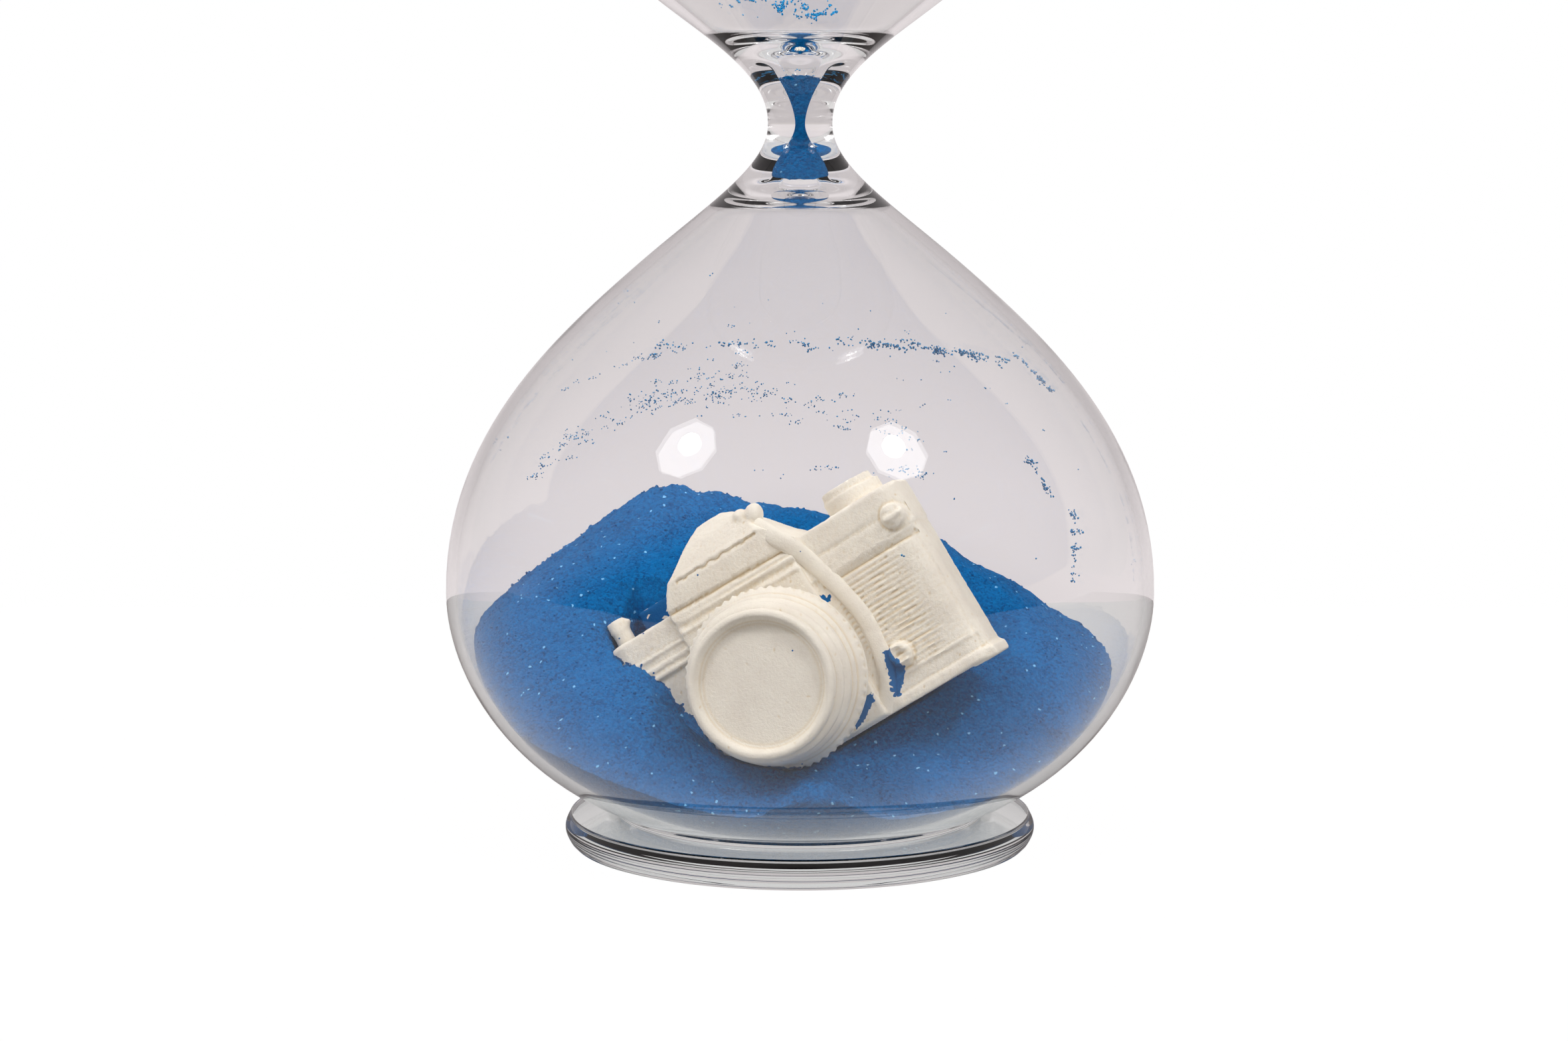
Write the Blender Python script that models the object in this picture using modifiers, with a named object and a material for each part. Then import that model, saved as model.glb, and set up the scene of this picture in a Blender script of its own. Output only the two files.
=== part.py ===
"""Hand-blown hourglass with blue sand and a plaster cast of a small film camera.

Two bell-shaped glass bulbs meet neck to neck at half the height. Each bulb is
open at its base, where it was ground flat and bonded to a thick glass disc, so
the cast could be put in before the disc closed the bulb. The lower bulb holds
a heap of sand with the cast half buried in it, and a thread of sand is jammed
in the throat. The cast lies loose, so it can lift straight up out of the sand.

Metres, +Z up, origin at the middle of the lower disc's underside, the face it
stands on. The lens of the cast points to -Y and a little to -X.
"""

import math

import bmesh
import bpy
from mathutils import Euler, Matrix, Vector

# ---------------------------------------------------------------- whole object
NECK_HEIGHT = 0.254        # table to the joint in the neck, half of the whole height
CLEARANCE = 0.0003         # between any two pieces that touch
ROUND_STEPS = 48           # facets around a bulb, divisible by four so its box is true
SMALL_STEPS = 24           # facets around a knob or the thread of sand
CURVE_STEPS = 6            # straight stretches in each curve of a bulb's outline

# ------------------------------------------------------------------ glass bulbs
BULB_RADIUS = 0.125        # outside, at the widest ring
BULB_RISE = 0.1637         # neck joint to the widest ring
BASE_RADIUS = 0.0651       # outside, at the ground rim
BASE_SLOPE = math.radians(67)      # of the wall at the ground rim, from upright
WAIST_RADIUS = 0.01125     # outside, in the neck
CONE_SLOPE = math.radians(49)      # of the wall below the neck, from upright
LOWER_CONE = (0.0581, 0.0499)      # radius and distance from the neck of that stretch
UPPER_CONE = (0.0571, 0.0489)
LOWER_SWEEP = (0.219, 0.476)       # handles of the curve from waist to cone, per chord
UPPER_SWEEP = (0.286, 0.399)
SHOULDER_SWEEP = (0.285, 0.415)    # from cone to widest ring
BELLY_SWEEP = (0.259, 0.468)       # from widest ring to ground rim
WALL = 0.0035              # glass thickness of a bulb
THROAT_RADIUS = 0.0011     # bore at the neck joint
MOUTH_RADIUS = 0.0066      # bore where it opens into the bulb
MOUTH_RISE = 0.0205        # neck joint to the bore's mouth
MOUTH_FLARE = 1.6          # power of the bore's flare, 1 is a plain cone
PLUG_RADIUS = 0.033        # the neck is solid glass inside this radius

# ---------------------------------------------------------- discs and bond lines
FOOT_RADIUS = 0.0837       # disc at mid thickness, where its rim bulges most
FOOT_BULGE = 0.0016        # rim's bulge past its edges
FOOT_THICKNESS = 0.0105
FOOT_BEVEL = 0.0012        # ground bevel under the rim
BOND_THICKNESS = 0.0006    # clear adhesive between bulb and disc
SEAL_THICKNESS = 0.0005    # clear adhesive in the neck joint

# ------------------------------------------------------------------------- sand
CREST_LEFT = (-0.050, 0.122)       # place and height of the left end of the heap's crest
CREST_RIGHT = (0.045, 0.105)       # and of its right end
CREST_Y = 0.040            # the crest lies this far behind the middle
HEAP_SLOPE = 0.80          # fall per length; the sand is damp enough to stand steep
RIGHT_SPREAD = 0.85        # the heap is this much gentler towards the right
CREST_ROUNDING = 0.010     # radius of the crest's top
FRONT_LEVEL = 0.021        # lowest sand, against the front glass
LEVEL_BLEND = 0.006        # how softly heap and front level meet
SAND_CELL = 0.009          # grid of the modelled surface
HEAP_HEADROOM = 0.02       # the filling is drawn this far past the peak, then trimmed
THREAD_TOP = 0.017         # jammed sand, above the neck joint
THREAD_BOTTOM = 0.0195     # and below it

# ------------------------------------------------------------------ plaster cast
CAST_PLACE = (0.0024, -0.0305, 0.0727)   # middle of the camera body
CAST_LEAN = math.radians(-6.0)           # about its width, lens up
CAST_ROLL = math.radians(-32.4)          # right end up
CAST_YAW = math.radians(-9.1)            # lens towards -X
BODY_WIDTH = 0.118
BODY_HEIGHT = 0.068
BODY_DEPTH = 0.034
BODY_ROUNDING = 0.012      # of the two ends, seen from above
BODY_CHIP = 0.018          # broken corner at the buried end
HOUSING_LEFT = 0.031       # middle of the body to the left side of the lens housing
HOUSING_RIGHT = 0.017
HOUSING_PROUD = 0.0025     # it stands this far out of the body's front
HOUSING_SHARE = 0.98       # of the body's height
PRISM_X = -0.0050          # middle of the prism hump
PRISM_BASE = 0.053         # width at the top plate
PRISM_EAVES = 0.043        # width at the edge of its roof
PRISM_RIDGE = 0.012        # width of its top
PRISM_WALL = 0.0104        # height of its upright front
PRISM_HEIGHT = 0.022
PRISM_WAIST = 0.93         # width half way up the upright front, per base width
PRISM_EAVES_DEPTH = 0.96   # depth at the edge of the roof, per depth at the base
PRISM_RIDGE_DEPTH = 0.4
LENS_X = -0.0075           # lens axis
LENS_Z = -0.004
LENS_LENGTH = 0.036        # front rim to the body's front
LENS_RADIUS = 0.0312       # the knurled ring
MOUNT_RADIUS = 0.0270      # behind the knurled ring
MOUNT_LENGTH = 0.0045      # body's front to the knurled ring
RIM_RADIUS = 0.0249        # front rim
RECESS_RADIUS = 0.0214     # flat closed front inside the rim
RECESS_DEPTH = 0.0030
RIM_END = 0.20             # the front rim's length, per length of the barrel
GRIP_FRONT = (0.90, 0.30)  # front of the middle ring: radius per LENS_RADIUS, and distance
GRIP_BACK = (0.93, 0.60)   # behind the front rim per length of the barrel
KNURL_FRONT = 0.65         # distance to the knurled ring
STRAP_WIDTH = 0.0056
STRAP_THICKNESS = 0.0030
STRAP_STEP = 0.0022        # it stands this far off the body where it leaves the prism
STRAP_OFF_PRISM = ((-0.0120, 0.78), (-0.0075, 1.0), (-0.0020, 1.0))  # right of the prism's
                           # base, and share of the way from the body's middle to its front
STRAP_LEAVES = (0.0005, -0.0026)   # right of the prism's base, and over the lens ring's top
STRAP_DOWN = ((0.0010, -0.0190), (0.0020, -0.0305), (0.0010, -0.0424), (-0.0005, -0.0530),
              (-0.0025, -0.0660))  # right of the lens mount, and over the top plate
KNOB_SINK = 0.003          # knobs reach this far into the body that they are cast with
WIDE_DIAL = (0.0106, 0.0088, 0.0420)     # radius, height and place along the top plate
WIND_KNOB = (0.0037, 0.0098, -0.0540)
LEVER_SIZE = (0.0135, 0.004, 0.0085)
LEVER_PLACE = (-0.0412, 0.0105)          # on the top plate, behind its middle
FACE_DIAL = (0.0041, 0.0018, 0.0540, 0.0245)    # radius, height, and place on the front
TERMINAL = (0.0033, 0.0030, 0.0305, -0.0177)
POCKET_CLEARANCE = 0.0008  # sand to cast
POCKET_SWEEP = 0.16        # the pocket stays open this far up, past the heap


# ---------------------------------------------------------------------- helpers
def clear_scene():
    for item in list(bpy.data.objects):
        bpy.data.objects.remove(item, do_unlink=True)


def new_collection(name):
    collection = bpy.data.collections.new(name)
    bpy.context.scene.collection.children.link(collection)
    return collection


def material(name, colour, roughness, metallic=0.0, alpha=1.0):
    found = bpy.data.materials.get(name)
    if found:
        return found
    made = bpy.data.materials.new(name)
    made.use_nodes = True
    shader = made.node_tree.nodes["Principled BSDF"]
    shader.inputs["Base Color"].default_value = (*colour, 1.0)
    shader.inputs["Roughness"].default_value = roughness
    shader.inputs["Metallic"].default_value = metallic
    shader.inputs["Alpha"].default_value = alpha
    made.diffuse_color = (*colour, alpha)
    return made


def glass(name):
    return material(name, (0.86, 0.90, 0.91), 0.02, alpha=0.35)


def bond(name):
    return material(name, (0.88, 0.88, 0.84), 0.10, alpha=0.5)


def sand(name):
    return material(name, (0.01, 0.13, 0.35), 0.9)


def plaster(name):
    return material(name, (0.72, 0.67, 0.57), 0.85)


def add_object(name, mesh, collection, finish=None):
    made = bpy.data.objects.new(name, mesh)
    collection.objects.link(made)
    if finish:
        mesh.materials.append(finish)
    return made


def mesh_from(name, cage):
    mesh = bpy.data.meshes.new(name)
    cage.to_mesh(mesh)
    cage.free()
    return mesh


def as_guide(item):
    item.hide_render = True
    item.display_type = "WIRE"
    return item


def smooth(item, angle=math.radians(35)):
    item.data.shade_smooth()
    item.data.set_sharp_from_angle(angle=angle)


def turned(name, outline, closed, collection, finish=None, steps=ROUND_STEPS):
    """A turned piece. outline holds (radius, height), outer side first, top to bottom."""
    cage = bmesh.new()
    points = [cage.verts.new((radius, 0.0, height)) for radius, height in outline]
    for first, second in zip(points, points[1:]):
        cage.edges.new((first, second))
    if closed:
        cage.edges.new((points[-1], points[0]))
    made = add_object(name, mesh_from(name, cage), collection, finish)
    screw = made.modifiers.new("Turned", "SCREW")
    screw.axis = "Z"
    screw.steps = steps
    screw.render_steps = steps
    screw.use_merge_vertices = True
    screw.merge_threshold = 0.00001
    screw.use_smooth_shade = True
    return made


def combine(item, other, operation):
    cut = item.modifiers.new(f"{operation.title()} {other.name}", "BOOLEAN")
    cut.operation = operation
    cut.solver = "EXACT"
    cut.object = other


def box_cage(size, centre=(0.0, 0.0, 0.0)):
    cage = bmesh.new()
    bmesh.ops.create_cube(cage, size=1.0)
    bmesh.ops.scale(cage, vec=size, verts=cage.verts)
    bmesh.ops.translate(cage, vec=centre, verts=cage.verts)
    return cage


def cylinder_cage(radius, length, place, turn=Matrix.Identity(3), steps=SMALL_STEPS):
    cage = bmesh.new()
    bmesh.ops.create_cone(cage, cap_ends=True, segments=steps, radius1=radius,
                          radius2=radius, depth=length)
    bmesh.ops.rotate(cage, cent=(0, 0, 0), matrix=turn, verts=cage.verts)
    bmesh.ops.translate(cage, vec=place, verts=cage.verts)
    return cage


# ------------------------------------------------------------------ glass outline
def curve_between(start, start_way, end, end_way, sweep, steps):
    """Points of a cubic curve between two outline points, without its last point."""
    start, end = Vector(start), Vector(end)
    chord = (end - start).length
    handle_a = start + Vector(start_way) * chord * sweep[0]
    handle_b = end - Vector(end_way) * chord * sweep[1]
    points = []
    for step in range(steps):
        t = step / steps
        near = (1 - t) ** 3 * start + 3 * (1 - t) ** 2 * t * handle_a
        points.append(near + 3 * (1 - t) * t ** 2 * handle_b + t ** 3 * end)
    return points


def neck_gap():
    """Neck joint to the neck face of a bulb."""
    return SEAL_THICKNESS / 2 + CLEARANCE


def rim_rise():
    """Neck joint to the ground rim of a bulb."""
    return NECK_HEIGHT - FOOT_THICKNESS - BOND_THICKNESS - 2 * CLEARANCE


def outer_outline(cone, waist_sweep):
    """Outside of a bulb as (radius, distance from the neck joint), neck to rim."""
    waist = (WAIST_RADIUS, neck_gap())
    widest = (BULB_RADIUS, BULB_RISE)
    rim = (BASE_RADIUS, rim_rise())
    along_cone = (math.sin(CONE_SLOPE), math.cos(CONE_SLOPE))
    along_rim = (-math.sin(BASE_SLOPE), math.cos(BASE_SLOPE))
    points = curve_between(waist, (0, 1), cone, along_cone, waist_sweep, CURVE_STEPS)
    points += curve_between(cone, along_cone, widest, (0, 1), SHOULDER_SWEEP,
                            CURVE_STEPS)
    points += curve_between(widest, (0, 1), rim, along_rim, BELLY_SWEEP, CURVE_STEPS)
    return points + [Vector(rim)]


def wall_outline(outer):
    """Inside of a bulb from the solid neck to the rim, one wall in from the outside."""
    inner = []
    for index, point in enumerate(outer[1:-1], start=1):
        along = (outer[index + 1] - outer[index - 1]).normalized()
        moved = point + Vector((-along.y, along.x)) * WALL
        if moved.x >= PLUG_RADIUS:
            inner.append(moved)
    last_way = (outer[-1] - outer[-2]).normalized()
    inner.append(Vector((outer[-1].x - WALL / abs(last_way.y), outer[-1].y)))
    return inner


def bore_radius(distance):
    share = min(distance / MOUTH_RISE, 1.0)
    return THROAT_RADIUS + (MOUTH_RADIUS - THROAT_RADIUS) * share ** MOUTH_FLARE


def bore_outline(steps=5):
    """The bore from its mouth back to the neck face."""
    start = neck_gap()
    distances = [MOUTH_RISE + (start - MOUTH_RISE) * step / steps for step in range(steps + 1)]
    return [Vector((bore_radius(distance), distance)) for distance in distances]


def bulb_outline(cone, waist_sweep):
    outer = outer_outline(cone, waist_sweep)
    return outer + wall_outline(outer)[::-1] + bore_outline()


# -------------------------------------------------------------------- glass parts
def stand(item, upper):
    """Places a piece that was drawn from the neck joint downwards."""
    item.location = (0, 0, NECK_HEIGHT)
    if upper:
        item.rotation_euler = (math.pi, 0, 0)


def make_bulb(name, upper, collection):
    cone, sweep = (UPPER_CONE, UPPER_SWEEP) if upper else (LOWER_CONE, LOWER_SWEEP)
    outline = [(point.x, -point.y) for point in bulb_outline(cone, sweep)]
    stand(turned(name, outline, True, collection, glass("blown_glass")), upper)


def make_foot(name, upper, collection):
    """Thick disc with a bulged rim, a crisp edge to the bulb and a ground bevel."""
    top = -(NECK_HEIGHT - FOOT_THICKNESS)
    bottom = -NECK_HEIGHT
    edge = FOOT_RADIUS - FOOT_BULGE
    outline = [(0.0, top), (edge, top)]
    steps = 4
    for step in range(1, steps):
        share = step / steps
        height = top + (bottom + FOOT_BEVEL - top) * share
        outline.append((edge + FOOT_BULGE * math.sin(math.pi * share), height))
    outline.append((edge, bottom + FOOT_BEVEL))
    outline.append((edge - FOOT_BEVEL, bottom))
    outline.append((0.0, bottom))
    stand(turned(name, outline, False, collection, glass("cast_glass")), upper)


def rim_inner_radius():
    return wall_outline(outer_outline(LOWER_CONE, LOWER_SWEEP))[-1].x


def ring_outline(inner, outer, top, bottom):
    return [(outer, top), (outer, bottom), (inner, bottom), (inner, top)]


def make_foot_bond(name, upper, collection):
    top = -(rim_rise() + CLEARANCE)
    outline = ring_outline(rim_inner_radius(), BASE_RADIUS, top, top - BOND_THICKNESS)
    stand(turned(name, outline, True, collection, bond("clear_bond")), upper)


def make_neck_seal(collection):
    half = SEAL_THICKNESS / 2
    outline = ring_outline(THROAT_RADIUS, WAIST_RADIUS, half, -half)
    stand(turned("neck_seal", outline, True, collection, bond("clear_bond")), False)


# --------------------------------------------------------------------------- sand
def make_throat_sand(collection):
    """Sand jammed in the bore, from just above the neck joint to just below it."""
    steps = 8
    outline = [(0.0, THREAD_TOP)]
    for step in range(steps + 1):
        height = THREAD_TOP - (THREAD_TOP + THREAD_BOTTOM) * step / steps
        outline.append((bore_radius(abs(height)) - CLEARANCE, height))
    outline.append((0.0, -THREAD_BOTTOM))
    made = turned("throat_sand", outline, False, collection, sand("blue_sand"), SMALL_STEPS)
    stand(made, False)


def sand_height(x, y):
    """Height of the sand's surface over the disc's underside."""
    along = min(max(x, CREST_LEFT[0]), CREST_RIGHT[0])
    share = (along - CREST_LEFT[0]) / (CREST_RIGHT[0] - CREST_LEFT[0])
    crest = CREST_LEFT[1] + (CREST_RIGHT[1] - CREST_LEFT[1]) * share
    across = (x - along) * (RIGHT_SPREAD if x > along else 1.0)
    away = math.hypot(across, y - CREST_Y)
    rounded = math.hypot(away, CREST_ROUNDING) - CREST_ROUNDING
    heap = crest - HEAP_SLOPE * rounded
    gap = (heap - FRONT_LEVEL) / LEVEL_BLEND
    return FRONT_LEVEL + LEVEL_BLEND * math.log1p(math.exp(min(gap, 40.0)))


def make_air_cutter(collection):
    """Everything above the sand's surface, as a closed block."""
    half = BULB_RADIUS + SAND_CELL
    cells = math.ceil(2 * half / SAND_CELL)
    cage = bmesh.new()
    bmesh.ops.create_grid(cage, x_segments=cells, y_segments=cells, size=half)
    for point in cage.verts:
        point.co.z = sand_height(point.co.x, point.co.y)
    lid = bmesh.ops.extrude_face_region(cage, geom=cage.faces[:])
    for item in lid["geom"]:
        if isinstance(item, bmesh.types.BMVert):
            item.co.z = CREST_LEFT[1] + POCKET_SWEEP
    bmesh.ops.recalc_face_normals(cage, faces=cage.faces[:])
    return as_guide(add_object("air_cutter", mesh_from("air_cutter", cage), collection))


def pocket_cutter(name, points, collection):
    """Hull of a convex part of the cast, with clearance, kept open upwards."""
    cage = bmesh.new()
    reach = POCKET_CLEARANCE
    offsets = [(reach, 0, 0), (-reach, 0, 0), (0, reach, 0), (0, -reach, 0), (0, 0, -reach)]
    for point in points:
        for offset in offsets:
            cage.verts.new(point + Vector(offset))
            cage.verts.new(point + Vector(offset) + Vector((0, 0, POCKET_SWEEP)))
    hull = bmesh.ops.convex_hull(cage, input=cage.verts[:])
    loose = [item for item in hull["geom_interior"] if isinstance(item, bmesh.types.BMVert)]
    bmesh.ops.delete(cage, geom=loose, context="VERTS")
    bmesh.ops.recalc_face_normals(cage, faces=cage.faces[:])
    return as_guide(add_object(name, mesh_from(name, cage), collection))


def make_sand_bed(collection, cutters, pocket_parts):
    """The lower bulb's filling up to the sand's surface, with a pocket for the cast."""
    wall = wall_outline(outer_outline(LOWER_CONE, LOWER_SWEEP))
    full = NECK_HEIGHT - CREST_LEFT[1] - HEAP_HEADROOM
    side = [(point.x - CLEARANCE, -point.y) for point in wall if point.y > full]
    floor = -(NECK_HEIGHT - FOOT_THICKNESS - CLEARANCE)
    outline = [(0.0, side[0][1])] + side + [(side[-1][0], floor), (0.0, floor)]
    made = turned("sand_bed", outline, False, collection, sand("blue_sand"))
    stand(made, False)
    combine(made, make_air_cutter(cutters), "DIFFERENCE")
    for name, points in pocket_parts:
        combine(made, pocket_cutter(name, points, cutters), "DIFFERENCE")


# ------------------------------------------------------------------- plaster cast
def make_cast_frame(collection):
    """The empty that the cast's pieces hang on; it is the body that lifts."""
    frame = bpy.data.objects.new("camera_cast", None)
    frame.location = CAST_PLACE
    frame.rotation_euler = Euler((CAST_LEAN, CAST_ROLL, CAST_YAW), "XYZ")
    collection.objects.link(frame)
    return frame


def lens_turn():
    """Turns a piece drawn along +Z to point along the lens, -Y of the cast."""
    return Matrix.Rotation(math.radians(90), 3, "X")


def body_cage():
    cage = box_cage((BODY_WIDTH, BODY_DEPTH, BODY_HEIGHT))
    upright = [edge for edge in cage.edges
               if abs(edge.verts[0].co.z - edge.verts[1].co.z) > BODY_HEIGHT / 2]
    bmesh.ops.bevel(cage, geom=upright, offset=BODY_ROUNDING, offset_type="OFFSET",
                    affect="EDGES", segments=4, profile=0.5, material=-1)
    return cage


def prism_cage():
    """The hump over the middle: an upright front, then a roof that slopes in."""
    cage = bmesh.new()
    deep = BODY_DEPTH + 2 * HOUSING_PROUD
    levels = [(-KNOB_SINK, PRISM_BASE, deep), (PRISM_WALL / 2, PRISM_BASE * PRISM_WAIST, deep),
              (PRISM_WALL, PRISM_EAVES, deep * PRISM_EAVES_DEPTH),
              (PRISM_HEIGHT, PRISM_RIDGE, deep * PRISM_RIDGE_DEPTH)]
    loops = []
    for height, width, depth in levels:
        corners = [(-1, -1), (1, -1), (1, 1), (-1, 1)]
        loops.append([cage.verts.new((PRISM_X + x * width / 2, y * depth / 2,
                                      BODY_HEIGHT / 2 + height)) for x, y in corners])
    for lower, upper in zip(loops, loops[1:]):
        for index in range(4):
            after = (index + 1) % 4
            cage.faces.new((lower[index], lower[after], upper[after], upper[index]))
    cage.faces.new(loops[0][::-1])
    cage.faces.new(loops[-1])
    return cage


def housing_cage():
    """The block behind the lens, proud of the body's front."""
    width = HOUSING_LEFT + HOUSING_RIGHT
    depth = HOUSING_PROUD + KNOB_SINK
    middle = ((HOUSING_RIGHT - HOUSING_LEFT) / 2, -(BODY_DEPTH + HOUSING_PROUD - KNOB_SINK) / 2, 0)
    return box_cage((width, depth, BODY_HEIGHT * HOUSING_SHARE), middle)


def top_knob(radius, height, x):
    """A round knob standing on the top plate."""
    middle = BODY_HEIGHT / 2 + (height - KNOB_SINK) / 2
    return cylinder_cage(radius, height + KNOB_SINK, (x, 0.0, middle))


def front_knob(radius, height, x, z):
    """A round boss standing out of the body's front."""
    middle = -(BODY_DEPTH + height - KNOB_SINK) / 2
    return cylinder_cage(radius, height + KNOB_SINK, (x, middle, z), lens_turn())


def knob_cages():
    """Small parts of the camera that stand on its top plate and front."""
    length, width, height = LEVER_SIZE
    middle = BODY_HEIGHT / 2 + (height - KNOB_SINK) / 2
    lever = box_cage((length, width, height + KNOB_SINK), (*LEVER_PLACE, middle))
    return {"wide_dial": top_knob(*WIDE_DIAL),
            "wind_knob": top_knob(*WIND_KNOB),
            "lever": lever,
            "face_dial": front_knob(*FACE_DIAL),
            "terminal": front_knob(*TERMINAL)}


def make_cast_body(collection, cutters, frame):
    made = add_object("cast_body", mesh_from("cast_body", body_cage()), collection,
                      plaster("plaster"))
    made.parent = frame
    extras = {"prism": prism_cage(), "housing": housing_cage(), **knob_cages()}
    for name, cage in extras.items():
        extra = as_guide(add_object(name, mesh_from(name, cage), cutters))
        extra.parent = frame
        combine(made, extra, "UNION")
    side = BODY_CHIP * math.sqrt(2)
    chip = box_cage((side, BODY_DEPTH * 2, side))
    bmesh.ops.rotate(chip, cent=(0, 0, 0), matrix=Matrix.Rotation(math.radians(45), 3, "Y"),
                     verts=chip.verts)
    bmesh.ops.translate(chip, vec=(-BODY_WIDTH / 2, 0, -BODY_HEIGHT / 2), verts=chip.verts)
    cutter = as_guide(add_object("chip_cutter", mesh_from("chip_cutter", chip), cutters))
    cutter.parent = frame
    combine(made, cutter, "DIFFERENCE")
    smooth(made)


def lens_outline():
    """Half section of the lens, front rim first, as (radius, distance along the axis)."""
    back = BODY_DEPTH / 2 + HOUSING_PROUD + CLEARANCE
    shoulder = BODY_DEPTH / 2 + MOUNT_LENGTH
    front = BODY_DEPTH / 2 + LENS_LENGTH
    length = front - shoulder
    floor = front - RECESS_DEPTH
    return [(0.0, floor), (RECESS_RADIUS, floor), (RECESS_RADIUS, front),
            (RIM_RADIUS, front), (RIM_RADIUS, front - length * RIM_END),
            (LENS_RADIUS * GRIP_FRONT[0], front - length * GRIP_FRONT[1]),
            (LENS_RADIUS * GRIP_BACK[0], front - length * GRIP_BACK[1]),
            (LENS_RADIUS, front - length * KNURL_FRONT), (LENS_RADIUS, shoulder),
            (MOUNT_RADIUS, shoulder), (MOUNT_RADIUS, back),
            (0.0, back)]


def make_cast_lens(collection, frame):
    made = turned("cast_lens", lens_outline(), False, collection, plaster("plaster"),
                  ROUND_STEPS)
    made.parent = frame
    made.location = (LENS_X, 0, LENS_Z)
    made.rotation_euler = (math.radians(90), 0, 0)


def strap_route():
    """Middle line of the strap in the cast's frame: over the prism, then down its front."""
    top = BODY_HEIGHT / 2
    on_body = -(BODY_DEPTH / 2 + STRAP_THICKNESS / 2 + 2 * CLEARANCE)
    on_prism = on_body - HOUSING_PROUD - CLEARANCE
    edge = PRISM_X + PRISM_BASE / 2
    beside = LENS_X + MOUNT_RADIUS + STRAP_WIDTH / 2 + 6 * CLEARANCE
    rises = (PRISM_HEIGHT, PRISM_WALL, STRAP_THICKNESS / 3)
    route = [(edge + right, on_prism * share, top + rise)
             for (right, share), rise in zip(STRAP_OFF_PRISM, rises)]
    route.append((edge + STRAP_LEAVES[0], on_body - STRAP_STEP,
                  LENS_Z + LENS_RADIUS + STRAP_LEAVES[1]))
    return route + [(beside + right, on_body, top + rise) for right, rise in STRAP_DOWN]


def make_cast_strap(collection, cutters, frame):
    """A flat plaster band along its route, its flat side towards the lens's front."""
    flat = bpy.data.curves.new("strap_section", "CURVE")
    flat.dimensions = "2D"
    section = flat.splines.new("POLY")
    corners = [(-1, -1), (-1, 1), (1, 1), (1, -1)]
    section.points.add(len(corners) - 1)
    for point, (across, through) in zip(section.points, corners):
        point.co = (across * STRAP_WIDTH / 2, through * STRAP_THICKNESS / 2, 0, 1)
    section.use_cyclic_u = True
    guide = as_guide(add_object("strap_section", flat, cutters))

    band = bpy.data.curves.new("cast_strap", "CURVE")
    band.dimensions = "3D"
    band.bevel_mode = "OBJECT"
    band.bevel_object = guide
    band.use_fill_caps = True
    band.twist_mode = "Z_UP"
    band.resolution_u = 3
    spline = band.splines.new("NURBS")
    route = strap_route()
    spline.points.add(len(route) - 1)
    for point, (x, y, z) in zip(spline.points, route):
        point.co = (x, z, -y, 1)
    spline.use_endpoint_u = True
    spline.order_u = 3
    made = add_object("cast_strap", band, collection, plaster("plaster"))
    made.parent = frame
    made.rotation_euler = (math.radians(90), 0, 0)


def pocket_parts(frame):
    """Convex parts of the cast, as points in the world, that the sand keeps clear of."""
    bpy.context.view_layer.update()
    place = frame.matrix_world
    parts = []
    blocks = {"body": body_cage(), "prism": prism_cage(), "housing": housing_cage()}
    for name, cage in {**blocks, **knob_cages()}.items():
        parts.append((f"pocket_{name}", [place @ point.co for point in cage.verts]))
        cage.free()
    middle = (LENS_X, -(BODY_DEPTH + LENS_LENGTH) / 2, LENS_Z)
    barrel = cylinder_cage(LENS_RADIUS, LENS_LENGTH, middle, lens_turn())
    parts.append(("pocket_lens", [place @ point.co for point in barrel.verts]))
    barrel.free()
    reach = max(STRAP_WIDTH, STRAP_THICKNESS) / 2 + CLEARANCE
    offsets = [Vector((x, y, z)) * reach for x in (-1, 1) for y in (-1, 1) for z in (-1, 1)]
    band = [place @ (Vector(point) + offset) for point in strap_route()[1:] for offset in offsets]
    parts.append(("pocket_strap", band))
    return parts


# -------------------------------------------------------------------------- build
def build():
    clear_scene()
    hourglass = new_collection("hourglass")
    cutters = new_collection("cutters")
    for side in ("lower", "upper"):
        upper = side == "upper"
        make_foot(f"{side}_foot", upper, hourglass)
        make_foot_bond(f"{side}_foot_bond", upper, hourglass)
        make_bulb(f"{side}_bulb", upper, hourglass)
    make_neck_seal(hourglass)
    make_throat_sand(hourglass)
    frame = make_cast_frame(hourglass)
    make_cast_body(hourglass, cutters, frame)
    make_cast_lens(hourglass, frame)
    make_cast_strap(hourglass, cutters, frame)
    make_sand_bed(hourglass, cutters, pocket_parts(frame))


build()
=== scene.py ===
# %% [markdown]
# # An hourglass with blue sand and a plaster camera
#
# The real object is two hand-blown glass bulbs joined neck to neck, each closed by a
# thick glass disc, with a heap of dyed sand and a plaster cast of a film camera in the
# lower bulb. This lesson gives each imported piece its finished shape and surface.
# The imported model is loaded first, because every place and size below comes from it.

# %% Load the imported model
import math
import random

import bmesh
import bpy
from mathutils import Euler, Matrix, Vector, noise
from mathutils.bvhtree import BVHTree


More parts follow.
